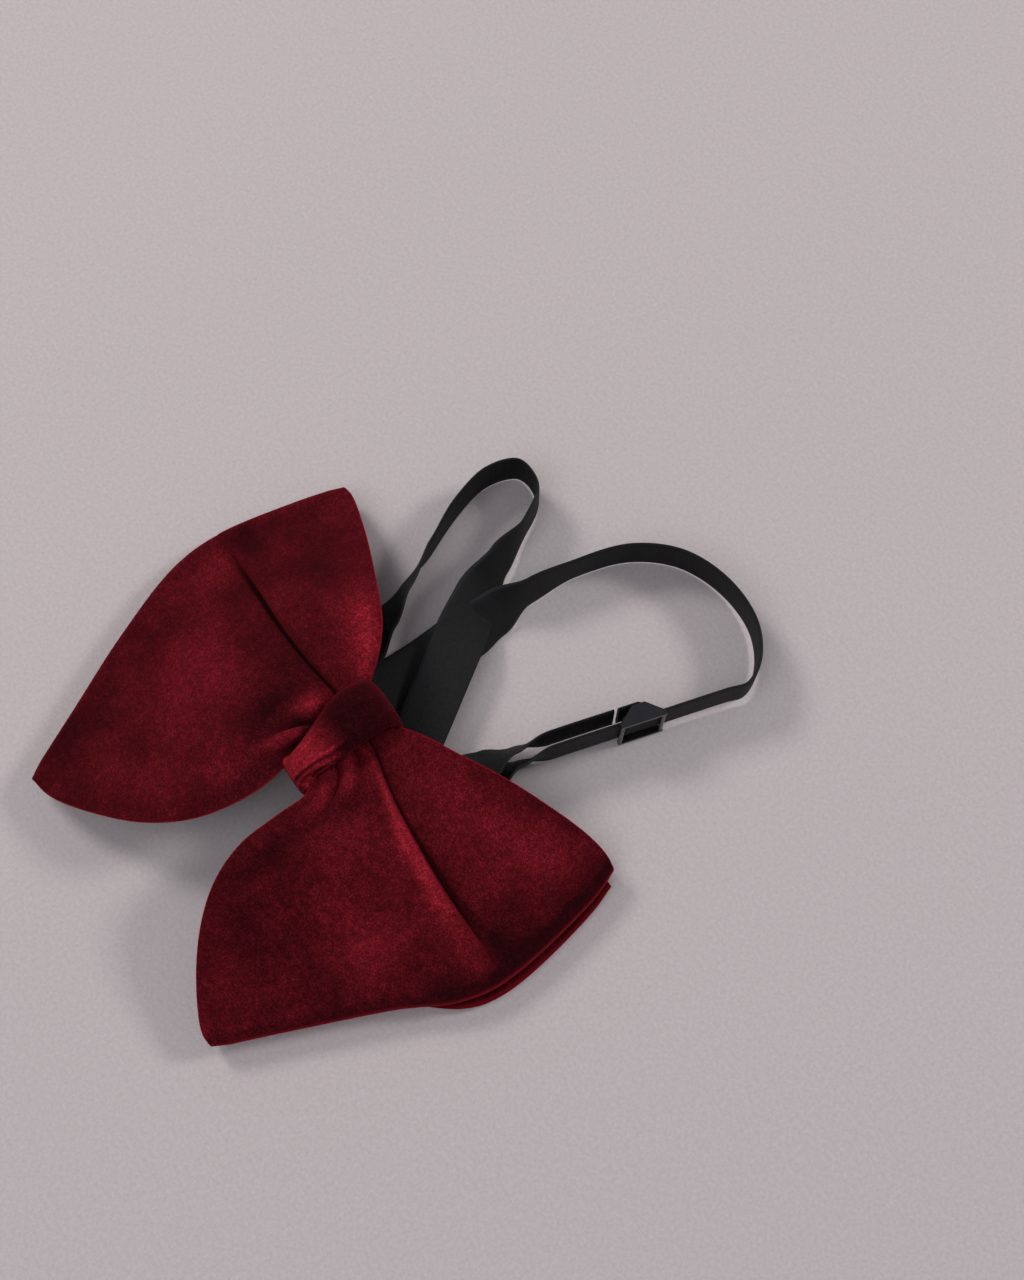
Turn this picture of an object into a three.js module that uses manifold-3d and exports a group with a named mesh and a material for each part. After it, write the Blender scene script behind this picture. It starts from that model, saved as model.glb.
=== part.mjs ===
// Pre-tied velvet bow tie lying on its back, face up, on its own neckband.
// X runs across the bow, Y is the bow's up as worn, +Z is the face of the bow. Units are millimetres.
import * as THREE from 'three';
import { mergeVertices } from 'three/addons/utils/BufferGeometryUtils.js';
import Module from 'manifold-3d';

// ---- driving dimensions -------------------------------------------------------------------
const BOW_WIDTH = 150;            // wing to wing
const BOW_HEIGHT = 114;           // upper corners to lower corners
const WING_REACH = BOW_WIDTH / 2;
const CLOTH = 2.4;                // one made-up layer: velvet, interlining, velvet
const VELVET = 0.6;               // one skin of a layer
const CLEAR = 0.25;               // between an interlining and its velvet
const FOLD_SPAN = 3.6;            // front to back sheet at the outer fold, centre to centre
const KNOT_WIDTH = 16.4;          // of the wrap, along X
const WRAP = 1.4;                 // thickness of the wrap
const WAIST_TOP = 8.5;            // gathered waist of the strips, along Y
const WAIST_BOTTOM = -17.5;
const WAIST_X = 8.8;              // where the gathers open out beside the knot
const FIT = 0.3;                  // between stacked layers
const THREAD = 0.8;               // waist thread
const THREAD_BAND = 2.4;          // three turns side by side
const WADDING = 4.1;
const BAND_WIDTH = 15;            // neckband ribbon
const BAND = 1.0;                 // its thickness
const BAND_Z = 11;                // ribbon centre where it crosses behind the knot
const FOLD = 1.6;                 // radius of the ribbon's folds beside the knot
const BAR = 1.6;                  // end bars of hook and eye
const SLIDE_BAR = 1.2;            // bars of the adjuster
const SLIDE_LENGTH = 13;
const KEEPER = 0.8;
const KEEPER_WIDTH = 5;

// ---- heights of the stack at the knot -------------------------------------------------------
const wrapBottom = BAND_Z + BAND / 2 + CLEAR + KEEPER + CLEAR;
const threadBottom = wrapBottom + WRAP + FIT;
const tailZ0 = threadBottom + THREAD + FIT + CLOTH / 2;
const TAPE = 0.4;
const backZ0 = tailZ0 + CLOTH + 2 * CLEAR + TAPE;
const frontZ0 = backZ0 + 5.3;
const threadTop = frontZ0 + CLOTH / 2 + FIT + THREAD;
const waddingBottom = threadTop + FIT;
const wrapTop = waddingBottom + WADDING + FIT + WRAP;

const V = (x, y, z) => new THREE.Vector3(x, y, z);
const wasm = await Module();
wasm.setup();

// ---- mesh helpers -----------------------------------------------------------------------------
function solidFrom(points, faces) {
  let volume = 0;
  for (const [a, b, c] of faces) {
    volume += points[a].dot(points[b].clone().cross(points[c]));
  }
  const index = volume < 0 ? faces.flatMap(([a, b, c]) => [a, c, b]) : faces.flat();
  const geometry = new THREE.BufferGeometry();
  const coordinates = points.flatMap((p) => [p.x, p.y, p.z]);
  geometry.setAttribute('position', new THREE.Float32BufferAttribute(coordinates, 3));
  geometry.setIndex(index);
  geometry.computeVertexNormals();
  return geometry;
}

function wall(faces, startA, startB, count, inward = false) {
  for (let k = 0; k < count; k += 1) {
    const n = (k + 1) % count;
    if (inward) {
      faces.push([startA + k, startB + n, startB + k], [startA + k, startA + n, startB + n]);
    } else {
      faces.push([startA + k, startB + k, startB + n], [startA + k, startB + n, startA + n]);
    }
  }
}

// Rings of equal count become one body: a rod with flat ends, a sleeve round inner rings, or a hoop.
function loft(rings, inner = null, hoop = false) {
  const count = rings[0].length;
  const points = rings.flat();
  const faces = [];
  const segments = hoop ? rings.length : rings.length - 1;
  for (let i = 0; i < segments; i += 1) {
    wall(faces, i * count, ((i + 1) % rings.length) * count, count);
  }
  if (hoop) {
    return solidFrom(points, faces);
  }
  const lastRing = (rings.length - 1) * count;
  if (inner) {
    const base = points.length;
    points.push(...inner.flat());
    for (let i = 0; i < inner.length - 1; i += 1) {
      wall(faces, base + i * count, base + (i + 1) * count, count, true);
    }
    wall(faces, base, 0, count);
    wall(faces, lastRing, base + lastRing, count);
    return solidFrom(points, faces);
  }
  for (let k = 0; k < count / 2 - 1; k += 1) {
    const far = count - 1 - k;
    faces.push([k, k + 1, far], [k + 1, far - 1, far]);
    faces.push([lastRing + k, lastRing + far, lastRing + k + 1]);
    faces.push([lastRing + k + 1, lastRing + far, lastRing + far - 1]);
  }
  return solidFrom(points, faces);
}

function toManifold(geometry) {
  const mesh = new wasm.Mesh({
    numProp: 3,
    vertProperties: new Float32Array(geometry.attributes.position.array),
    triVerts: new Uint32Array(geometry.index.array),
  });
  return new wasm.Manifold(mesh);
}

function fromManifold(body) {
  const mesh = body.getMesh();
  const geometry = new THREE.BufferGeometry();
  geometry.setAttribute('position', new THREE.Float32BufferAttribute(mesh.vertProperties, 3));
  geometry.setIndex(new THREE.BufferAttribute(mesh.triVerts, 1));
  geometry.computeVertexNormals();
  return geometry;
}

// ---- cloth sheets -------------------------------------------------------------------------------
function normalsOf(grid) {
  const rows = grid.length;
  return grid.map((row, i) => row.map((_, j) => {
    const along = grid[Math.min(i + 1, rows - 1)][j].clone().sub(grid[Math.max(i - 1, 0)][j]);
    const across = row[Math.min(j + 1, row.length - 1)].clone().sub(row[Math.max(j - 1, 0)]);
    return along.cross(across).normalize();
  }));
}

// The ring around a sheet at each row: out along one face, back along the other.
function sheetRings(grid, thickness, inset) {
  const normals = normalsOf(grid);
  return grid.map((row, i) => {
    const end = row.length - 1;
    const next = grid[Math.min(i + 1, grid.length - 1)];
    const before = grid[Math.max(i - 1, 0)];
    const drawnIn = (j, neighbour) => {
      const edge = next[j].clone().sub(before[j]).normalize();
      const direction = row[neighbour].clone().sub(row[j]);
      const room = 0.7 * direction.length();
      const slant = direction.normalize().clone().cross(edge).length();
      return row[j].clone().addScaledVector(direction, Math.min(inset / slant, room));
    };
    const middle = [drawnIn(0, 1), ...row.slice(1, -1), drawnIn(end, end - 1)];
    const side = (sign) => middle.map(
      (p, j) => p.clone().addScaledVector(normals[i][j], sign * thickness / 2),
    );
    return [...side(1), ...side(-1).reverse()];
  });
}

const velvetSkin = (grid) => loft(
  sheetRings(grid, CLOTH, 0),
  sheetRings(grid, CLOTH - 2 * VELVET, VELVET),
);
const interlining = (grid) => loft(sheetRings(grid, CLOTH - 2 * (VELVET + CLEAR), VELVET + CLEAR));

// ---- outline of one wing --------------------------------------------------------------------------
const kx = WING_REACH / 75;
const ky = BOW_HEIGHT / 114;
function curve(list) {
  const points = list.map(([x, y]) => V(x * kx, y * ky, 0));
  return new THREE.CatmullRomCurve3(points, false, 'centripetal');
}
const topEdge = curve([
  [WAIST_X / kx, WAIST_TOP / ky], [13, 14], [21, 21], [35, 28], [53.5, 35.5], [66, 37.5],
]);
const bottomEdge = curve([
  [WAIST_X / kx, WAIST_BOTTOM / ky], [9.9, -21.2], [8.4, -26.5], [6.0, -33], [6.0, -40],
  [9, -50], [17, -61], [28, -70], [38, -76], [45, -76.5],
]);
const outerEdge = curve([
  [45, -76.5], [53.5, -57], [64, -34], [73, -15], [75, -2], [71, 25], [66, 37.5],
]);
const innerEdge = (v) => V(WAIST_X, WAIST_BOTTOM + v * (WAIST_TOP - WAIST_BOTTOM), 0);
const ACROSS = [0, 0.12, 0.28, 0.44, 0.56, 0.64, 0.72, 0.85, 1];   // lower edge to upper edge
const ALONG = [0, 0.08, 0.2, 0.34, 0.49, 0.64, 0.78, 0.89, 0.955]; // knot to outer fold

const LOBE = 8;                   // how far the lower gathers swing out from their edge

function wingPoint(u, v) {
  const lower = bottomEdge.getPointAt(u).multiplyScalar(1 - v);
  const upper = topEdge.getPointAt(u).multiplyScalar(v);
  const sides = innerEdge(v).multiplyScalar(1 - u).add(outerEdge.getPointAt(v).multiplyScalar(u));
  const corners = V(0, 0, 0);
  corners.add(innerEdge(0).multiplyScalar((1 - u) * (1 - v)));
  corners.add(innerEdge(1).multiplyScalar((1 - u) * v));
  corners.add(outerEdge.getPointAt(0).multiplyScalar(u * (1 - v)));
  corners.add(outerEdge.getPointAt(1).multiplyScalar(u * v));
  const point = lower.add(upper).add(sides).sub(corners);
  const swing = Math.sin(Math.PI * Math.sqrt(Math.min(u, 1)));
  point.x += LOBE * swing * 2 * Math.sqrt(v * (1 - v)) * (1 - v);
  return point;
}

// Value at u of a table of [u, value] pairs.
function along(table, u) {
  const k = Math.max(table.findIndex(([edge]) => u <= edge), 1);
  const [u0, a] = table[k - 1];
  const [u1, b] = table[k];
  return a + (b - a) * (u - u0) / (u1 - u0);
}

const tipZ = CLOTH / 2 + 0.05;    // the tails' tips lie on the floor
const backTipZ = tipZ + CLOTH + FIT + 0.3;
const OVER_BAND = 0.9 * BAND_WIDTH; // the tails are held up by the band that stands on edge under them
// Heights of the sheets, as [share of the way from the knot to the outer fold, millimetres].
const TAIL_Z = [
  [0, tailZ0], [0.15, tailZ0 + 0.3], [0.35, OVER_BAND + 2.9], [0.6, OVER_BAND - 3.1],
  [0.85, 3.8], [1, tipZ],
];
const BACK_GAP = [[0, backZ0 - tailZ0], [0.6, CLOTH + 3 * FIT], [1, backTipZ - tipZ]];
const FRONT_GAP = [
  [0, frontZ0 - backZ0], [0.15, 6.2], [0.35, 6.0], [0.6, 5.4], [0.85, 4.3],
  [0.955, FOLD_SPAN], [1, FOLD_SPAN],
];
const PLEAT = [[0, 0], [0.1, 0.6], [0.3, 1.6], [0.75, 0.9], [0.95, 0.2], [1, 0]];
const bump = (x, width) => Math.exp(-((x / width) ** 2));
const tailZ = (u) => along(TAIL_Z, u);
const backZ = (u) => tailZ(u) + along(BACK_GAP, u);
const frontZ = (u, v) => backZ(u) + along(FRONT_GAP, u)
  + along(PLEAT, u) * (bump(v - 0.56, 0.09) - bump(v - 0.7, 0.07));

// ---- front loop: one strip, round both outer folds, its ends meeting behind the waist -----------
const FOLD_ANGLES = [45, 90, 135];
const LOOP_END = 0.4;             // half the gap between the strip's two ends

function loopRows(side) {
  const row = (u, height) => ACROSS.map((v) => {
    const p = wingPoint(u, v);
    return V(side * p.x, p.y, height(u, v));
  });
  const outerU = ALONG[ALONG.length - 1];
  const front = ALONG.map((u) => row(u, frontZ));
  const back = ALONG.map((u) => row(u, backZ)).reverse();
  const turn = FOLD_ANGLES.map((degrees) => ACROSS.map((v, j) => {
    const upper = front[front.length - 1][j];
    const lower = back[0][j];
    const out = wingPoint(1, v).sub(wingPoint(outerU, v)).setZ(0).normalize();
    const radius = (upper.z - lower.z) / 2;
    const angle = THREE.MathUtils.degToRad(degrees);
    return V(
      upper.x + side * out.x * radius * Math.sin(angle),
      upper.y + out.y * radius * Math.sin(angle),
      lower.z + radius * (1 + Math.cos(angle)),
    );
  }));
  return [...front, ...turn, ...back];
}

const waistRow = (x, z) => ACROSS.map((v) => V(x, innerEdge(v).y, z));
const loopGrid = [
  waistRow(LOOP_END, backZ0),
  ...loopRows(1).reverse(),
  waistRow(0, frontZ0),
  ...loopRows(-1),
  waistRow(-LOOP_END, backZ0),
];

// ---- back strip: one flat length whose two tails show behind the wings ----------------------------
const TAIL_ALONG = [0, 0.12, 0.3, 0.5, 0.7, 0.86, 1];
const TAIL_PAST = { left: -2.5, right: 2.5 };         // how far each tail passes the wing's outline

function tailRows(side, past) {
  return TAIL_ALONG.map((t) => ACROSS.map((v) => {
    const p = wingPoint(t * 0.96, 0.02 + 0.96 * v);
    const out = wingPoint(1, v).sub(wingPoint(0.96, v));
    const narrow = THREE.MathUtils.lerp(0.92, 1, t);
    const middle = wingPoint(t * 0.96, 0.55);
    p.y = middle.y + (p.y - middle.y) * narrow;
    p.addScaledVector(out, t ** 3 * (1 + past / out.length()));
    return V(side * p.x, p.y, tailZ(t));
  }));
}
const tailGrid = [
  ...tailRows(1, TAIL_PAST.right).reverse(),
  ...tailRows(-1, TAIL_PAST.left),
];

// ---- knot -----------------------------------------------------------------------------------------
// A hoop around the X axis. half(x) gives its section as a rounded rectangle in Y and Z.
function hoopRing(x, yLow, yHigh, zLow, zHigh, corner, steps = 4) {
  const ring = [];
  const centres = [[yHigh, zHigh, 0], [yLow, zHigh, 90], [yLow, zLow, 180], [yHigh, zLow, 270]];
  for (const [y, z, start] of centres) {
    const cy = y - Math.sign(y - (yLow + yHigh) / 2) * corner;
    const cz = z - Math.sign(z - (zLow + zHigh) / 2) * corner;
    for (let k = 0; k <= steps; k += 1) {
      const angle = THREE.MathUtils.degToRad(start + 90 * k / steps);
      ring.push(V(x, cy + corner * Math.cos(angle), cz + corner * Math.sin(angle)));
    }
  }
  return ring;
}

function hoop(halfWidth, box, thickness, corner, swell = 0) {
  const [yLow, yHigh, zLow, zHigh] = box;       // inner faces
  const inner = [];
  const outer = [];
  for (const share of [-1, -0.5, 0, 0.5, 1]) {
    const x = share * halfWidth;
    const t = thickness;
    const rise = swell * (1 - share * share);
    inner.push(hoopRing(x, yLow, yHigh, zLow, zHigh, corner));
    outer.push(hoopRing(x, yLow - t, yHigh + t, zLow - t, zHigh + t + rise, corner + t));
  }
  return loft(outer, inner);
}

const wrapBox = [WAIST_BOTTOM - 1.9, WAIST_TOP + 1.9, wrapBottom + WRAP, wrapTop - WRAP];
const knotWrap = hoop(KNOT_WIDTH / 2, wrapBox, WRAP, 1.1, 0.8);
const threadBox = [WAIST_BOTTOM - 0.5, WAIST_TOP + 0.5, threadBottom + THREAD, threadTop - THREAD];
const waistThread = hoop(THREAD_BAND / 2, threadBox, THREAD, 0.4);

const waddingRings = [-1, -0.6, 0.6, 1].map((share) => {
  const end = Math.abs(share) === 1 ? 1.2 : 0;
  const y0 = WAIST_BOTTOM + 0.4 + end;
  const y1 = WAIST_TOP - 0.4 - end;
  const top = waddingBottom + WADDING - end / 2;
  return hoopRing(share * (KNOT_WIDTH / 2 - 1), y0, y1, waddingBottom, top, 1.2, 3);
});

// ---- ribbon ---------------------------------------------------------------------------------------
// A station is a point on the ribbon's centre line, the half line across it, and its face normal.
const UP = V(0, 0, 1);

function station(point, heading, tilt, flip, faceFlip) {
  const level = UP.clone().cross(heading).setZ(0).normalize();
  const angle = THREE.MathUtils.degToRad(tilt);
  const across = level.multiplyScalar(Math.cos(angle)).addScaledVector(UP, Math.sin(angle));
  across.multiplyScalar(flip);
  const normal = heading.clone().cross(across).multiplyScalar(faceFlip).normalize();
  return { point, half: across.multiplyScalar(BAND_WIDTH / 2), normal, heading: heading.clone() };
}

// A flat ribbon heading along `from` is turned over and under, on a crease, to head along `to`.
function creaseStations(centre, from, to, radius, faceFlip) {
  const normal = from.clone().sub(to).normalize();
  const crease = UP.clone().cross(normal);
  const slope = from.dot(normal);
  const halfLine = crease.clone().multiplyScalar(BAND_WIDTH / 2 / slope * Math.sign(crease.y));
  const list = [];
  const steps = 6;
  for (let k = 0; k <= steps; k += 1) {
    const angle = Math.PI * k / steps;
    const q = radius * angle;
    const point = centre.clone().addScaledVector(crease, q / slope * from.dot(crease));
    point.addScaledVector(normal, radius * Math.sin(angle));
    point.setZ(centre.z - radius * (1 - Math.cos(angle)));
    const face = V(normal.x * Math.sin(angle), normal.y * Math.sin(angle), Math.cos(angle));
    const heading = normal.clone().multiplyScalar(Math.cos(angle));
    heading.addScaledVector(UP, -Math.sin(angle));
    list.push({ point, half: halfLine.clone(), normal: face, heading });
  }
  return list;
}

// Stations along a hand-laid route of [x, y, z, tilt] points, laid for a band of LAID_WIDTH.
const LAID_WIDTH = 15;
function routeStations(route, count, flip, faceFlip) {
  const points = route.map(([x, y, z]) => V(x, y, z));
  const line = new THREE.CatmullRomCurve3(points, false, 'centripetal');
  const list = [];
  for (let k = 0; k <= count; k += 1) {
    const t = k / count;
    const place = t * (route.length - 1);
    const i = Math.min(Math.floor(place), route.length - 2);
    const ease = THREE.MathUtils.smoothstep(place - i, 0, 1);
    const tilt = THREE.MathUtils.lerp(route[i][3], route[i + 1][3], ease);
    const point = line.getPoint(t);
    point.z += (BAND_WIDTH - LAID_WIDTH) / 2 * Math.sin(THREE.MathUtils.degToRad(tilt));
    list.push(station(point, line.getTangent(t), tilt, flip, faceFlip));
  }
  return list;
}

// The ribbon's end turned back around a bar on its `side` face, then laid flat for `length`.
function turnedEnd(last, radius, side, length, steps = 6) {
  const out = last.heading.clone();
  const face = last.normal.clone().multiplyScalar(side);
  const centre = last.point.clone().addScaledVector(face, radius);
  const list = [];
  for (let k = 1; k <= steps; k += 1) {
    const angle = Math.PI * k / steps;
    const radial = face.clone().multiplyScalar(-Math.cos(angle));
    radial.addScaledVector(out, Math.sin(angle));
    list.push({
      point: centre.clone().addScaledVector(radial, radius),
      half: last.half.clone(),
      normal: radial.clone().multiplyScalar(-side),
      heading: face.clone().multiplyScalar(Math.sin(angle)).addScaledVector(out, Math.cos(angle)),
    });
  }
  const end = list[list.length - 1];
  if (length > 0) {
    list.push({ ...end, point: end.point.clone().addScaledVector(out, -length) });
  }
  return list;
}

function ribbon(stations) {
  return loft(stations.map(({ point, half, normal }) => {
    const lift = normal.clone().multiplyScalar(BAND / 2);
    const a = point.clone().add(half);
    const b = point.clone().sub(half);
    return [a.clone().add(lift), b.clone().add(lift), b.clone().sub(lift), a.clone().sub(lift)];
  }));
}

// The neckband passes behind the knot, is folded up on both sides, and its halves cross above the knot.
const SHORT_X = -7.4;             // creases, on the ribbon's centre line
const LONG_X = 13;
const END_PLAY = 0.3;             // between a bar and the ribbon turned round it
const END_TURN = BAR / 2 + END_PLAY + BAND / 2;
const END_LAP = 8;
const TURNED_TO = -1;             // both ends are turned to this side of the ribbon's face normal

const longHeading = V(-0.55, 0.835, 0).normalize();
const longCrease = creaseStations(V(LONG_X, 0, BAND_Z), V(1, 0, 0), longHeading, FOLD, 1);
const longExit = longCrease[longCrease.length - 1].point;
const ahead = (start, heading, distance, z) => {
  const p = start.clone().addScaledVector(heading, distance);
  return [p.x, p.y, z, 0];
};
const eyeRoute = [
  [longExit.x, longExit.y, longExit.z, 0],
  ahead(longExit, longHeading, 12, longExit.z + 0.1),
  ahead(longExit, longHeading, 27, longExit.z + 0.5),
  ahead(longExit, longHeading, 40, longExit.z + 0.8),
  [-17, 50, 8.8, 35], [-23, 62, 8.8, 70], [-27.5, 74, 8.6, 90], [-34, 83, 8.2, 90], [-43, 83, 8, 90],
  [-46.5, 74, 7.8, 90], [-44, 62, 7.6, 90], [-38, 49, 7.6, 86], [-32, 36, 7.2, 68], [-27.5, 25, 6, 45],
  [-24, 15, 3.6, 15], [-22.4, 8.5, 2.6, 0], [-20.8, 2, 2.5, 0],
];
const eyeRun = routeStations(eyeRoute, 64, -1, 1);

const shortHeading = V(0, 1, 0);
const shortCrease = creaseStations(V(SHORT_X, 0, BAND_Z), V(-1, 0, 0), shortHeading, FOLD, 1);
const shortExit = shortCrease[shortCrease.length - 1].point;
const hookRoute = [
  [shortExit.x, shortExit.y, shortExit.z, 0],
  ahead(shortExit, shortHeading, 6, 7.0), ahead(shortExit, shortHeading, 14, 5.6),
  ahead(shortExit, shortHeading, 24, 4.8), [-11.2, 40, 5.0, 10], [-11.5, 52, 6.3, 45], [-11, 64, 7.9, 80],
  [-9, 79, 8, 90], [-4, 94, 8, 90], [6, 105, 8, 90], [20, 110, 8.2, 90], [34, 109, 8.8, 90],
  [43.5, 103, 9.2, 90], [47.0, 96.2, 9.4, 90], [45.3, 90.5, 9.4, 90], [38.3, 66.5, 9.4, 90],
  [31.3, 42.5, 9.4, 90],
  [28.5, 32.9, 8.2, 70], [26.3, 25.2, 5.4, 38], [24, 17, 3.8, 10], [23, 9, 2.9, 0], [22.2, 2, 2.8, 0],
];
const hookRun = routeStations(hookRoute, 84, 1, -1);

// Frame of a fitting on a station: X along the ribbon, Z out of the face its end is turned to.
function fittingFrame(at, radius, side) {
  const x = at.heading.clone();
  const z = at.normal.clone().multiplyScalar(side);
  const y = z.clone().cross(x);
  return new THREE.Matrix4().makeBasis(x, y, z).setPosition(at.point.clone().addScaledVector(z, radius));
}
const eyeEnd = eyeRun[eyeRun.length - 1];
const hookEnd = hookRun[hookRun.length - 1];
const eyeFrame = fittingFrame(eyeEnd, END_TURN, TURNED_TO);
const hookFrame = fittingFrame(hookEnd, END_TURN, TURNED_TO);

const neckbandStations = [
  ...turnedEnd(hookEnd, END_TURN, TURNED_TO, END_LAP).reverse(),
  ...hookRun.slice(1).reverse(),
  ...shortCrease.slice().reverse(),
  ...longCrease,
  ...eyeRun.slice(1),
  ...turnedEnd(eyeEnd, END_TURN, TURNED_TO, END_LAP),
];

// The hook end runs back beside the band to the adjuster, where its end is sewn round the middle bar.
const SLIDE_AT = 15 / 21;          // place of the adjuster along the hook run
const SEWN = BAND / 2 + FIT + BAND / 2;
const SLIDE_TURN = SLIDE_BAR / 2 + END_PLAY + BAND / 2;
const slideIndex = Math.round(SLIDE_AT * (hookRun.length - 1));
const slideStation = hookRun[slideIndex];
const slideFrame = fittingFrame(slideStation, SEWN + SLIDE_TURN, TURNED_TO);
const RETURN_GAP = SEWN + 2 * SLIDE_TURN;
const offset = (at, distance) => ({
  ...at, point: at.point.clone().addScaledVector(at.normal, TURNED_TO * distance),
});
const returnRows = [];
const arc = (i) => hookRun[i].point.distanceTo(hookRun[i + 1] ? hookRun[i + 1].point : hookRun[i].point);
let fromEnd = 0;
for (let i = hookRun.length - 1; i > slideIndex; i -= 1) {
  const fromSlide = hookRun[i].point.distanceTo(slideStation.point);
  if (fromEnd > END_LAP + 0.5 && fromSlide > SLIDE_LENGTH / 2 - 1) {
    const share = THREE.MathUtils.smoothstep(fromEnd, END_LAP, END_LAP + 30);
    returnRows.push(offset(hookRun[i], THREE.MathUtils.lerp(2 * END_TURN, RETURN_GAP, share)));
  }
  fromEnd += arc(i - 1);
}

const sewnStart = { ...offset(slideStation, RETURN_GAP), heading: slideStation.heading.clone().negate() };
const leadPoint = sewnStart.point.clone().addScaledVector(sewnStart.heading, 1.4 - SLIDE_LENGTH / 2);
const sewnEnd = [
  { ...sewnStart, point: leadPoint },
  sewnStart,
  ...turnedEnd(sewnStart, SLIDE_TURN, -TURNED_TO, SLIDE_LENGTH / 2 - 1.6),
];

// ---- metal fittings, built about their bars in their own frames -------------------------------------
function bar(radius, length, x, z) {
  const rod = new THREE.CylinderGeometry(radius, radius, length, 16, 1);
  rod.deleteAttribute('normal');
  rod.deleteAttribute('uv');
  rod.translate(x, 0, z);
  return rod;
}

function plate(outline, holes, thickness) {
  const shape = new THREE.Shape(outline.map(([x, y]) => new THREE.Vector2(x, y)));
  shape.holes = holes.map((hole) => new THREE.Path(hole.map(([x, y]) => new THREE.Vector2(x, y))));
  const body = new THREE.ExtrudeGeometry(shape, { depth: thickness, bevelEnabled: false });
  body.deleteAttribute('normal');
  body.deleteAttribute('uv');
  return body;
}
const welded = (geometry) => toManifold(mergeVertices(geometry, 1e-4));
const union = (parts) => fromManifold(parts.map(welded).reduce((a, b) => a.add(b)));

const railY = BAND_WIDTH / 2 + 0.4;
const RAIL = 1.2;
const lowZ = -(SEWN + SLIDE_TURN) - BAND / 2 - CLEAR - SLIDE_BAR / 2;
const railOutline = [
  [-SLIDE_LENGTH / 2, lowZ - 0.6], [SLIDE_LENGTH / 2, lowZ - 0.6], [SLIDE_LENGTH / 2, lowZ + 0.6],
  [1.8, 0.6], [-1.8, 0.6], [-SLIDE_LENGTH / 2, lowZ + 0.6],
];
const rails = [-railY - RAIL, railY].map((y) => {
  const rail = plate(railOutline, [], RAIL);
  rail.rotateX(Math.PI / 2);
  rail.translate(0, y + RAIL, 0);
  return rail;
});
const barLength = 2 * railY + RAIL;
const adjuster = union([
  ...rails,
  bar(SLIDE_BAR / 2, barLength, 0, 0),
  bar(SLIDE_BAR / 2, barLength, -SLIDE_LENGTH / 2 + SLIDE_BAR / 2, lowZ),
  bar(SLIDE_BAR / 2, barLength, SLIDE_LENGTH / 2 - SLIDE_BAR / 2, lowZ),
]);

// Rectangular wire eye, its back bar in the turned end of the band.
const EYE_REACH = 9.2;
const EYE_HALF = BAND_WIDTH / 2 + 1.1 + BAR / 2;
function wireEye() {
  const corner = 1.8;
  const rings = [];
  const corners = [
    [EYE_REACH, EYE_HALF, 0], [0, EYE_HALF, 90], [0, -EYE_HALF, 180], [EYE_REACH, -EYE_HALF, 270],
  ];
  for (const [x, y, start] of corners) {
    const cx = x - Math.sign(x - EYE_REACH / 2) * corner;
    const cy = y - Math.sign(y) * corner;
    for (let k = 0; k <= 3; k += 1) {
      const angle = THREE.MathUtils.degToRad(start + 30 * k);
      const out = V(Math.cos(angle), Math.sin(angle), 0);
      const centre = V(cx, cy, 0).addScaledVector(out, corner);
      const ring = [];
      for (let m = 0; m < 10; m += 1) {
        const turn = 2 * Math.PI * m / 10;
        const point = centre.clone().addScaledVector(out, BAR / 2 * Math.cos(turn));
        ring.push(point.addScaledVector(UP, BAR / 2 * Math.sin(turn)));
      }
      rings.push(ring);
    }
  }
  return loft(rings, null, true);
}

// Flat hook: a slotted plate whose back edge is the bar, and a tongue curled over.
const HOOK_SHEET = 1.0;
const HOOK_BACK = 1.1;
function flatHook() {
  const slotEnd = END_TURN + BAND / 2 + 0.6;
  const half = BAND_WIDTH / 2 + 0.4;
  const outline = [
    [-HOOK_BACK / 2, -half - 1.4], [slotEnd + 1.3, -half - 1.4], [slotEnd + 4, -4.2], [10.5, -3.6],
    [10.5, 3.6], [slotEnd + 4, 4.2], [slotEnd + 1.3, half + 1.4], [-HOOK_BACK / 2, half + 1.4],
  ];
  const slot = [[HOOK_BACK / 2, -half], [HOOK_BACK / 2, half], [slotEnd, half], [slotEnd, -half]];
  const base = plate(outline, [slot], HOOK_SHEET);
  base.translate(0, 0, -HOOK_SHEET / 2);
  const curl = 1.5;
  const path = [[10.3, 0]];
  for (let k = 0; k <= 6; k += 1) {
    const angle = Math.PI * k / 6;
    path.push([10.5 + curl * Math.sin(angle), curl * (1 - Math.cos(angle))]);
  }
  path.push([6.2, 2 * curl + 0.3]);
  const rings = path.map(([x, z], i) => {
    const [xa, za] = path[Math.max(i - 1, 0)];
    const [xb, zb] = path[Math.min(i + 1, path.length - 1)];
    const normal = V(-(zb - za), 0, xb - xa).normalize().multiplyScalar(HOOK_SHEET / 2);
    const width = i > path.length - 2 ? 2.6 : 3.6;
    return [[1, 1], [-1, 1], [-1, -1], [1, -1]].map(
      ([sy, sz]) => V(x, sy * width, z).addScaledVector(normal, sz),
    );
  });
  return fromManifold(welded(base).add(toManifold(loft(rings))));
}

// Bar tack through both layers of a turned end.
const TACK_HALF = 5;
function tack(frame, gap, clearance) {
  const block = new THREE.BoxGeometry(1 + 2 * clearance, 2 * TACK_HALF + 2 * clearance, gap + BAND + 0.5);
  block.deleteAttribute('normal');
  block.deleteAttribute('uv');
  block.translate(-END_LAP + 2.2, 0, 0);
  return block.applyMatrix4(frame);
}
const tackHoles = [eyeFrame, hookFrame].map((frame) => welded(tack(frame, 2 * END_TURN + 2, 0.12)));
const wholeBand = toManifold(ribbon(neckbandStations));
const neckband = fromManifold(tackHoles.reduce((body, hole) => body.subtract(hole), wholeBand));

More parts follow.
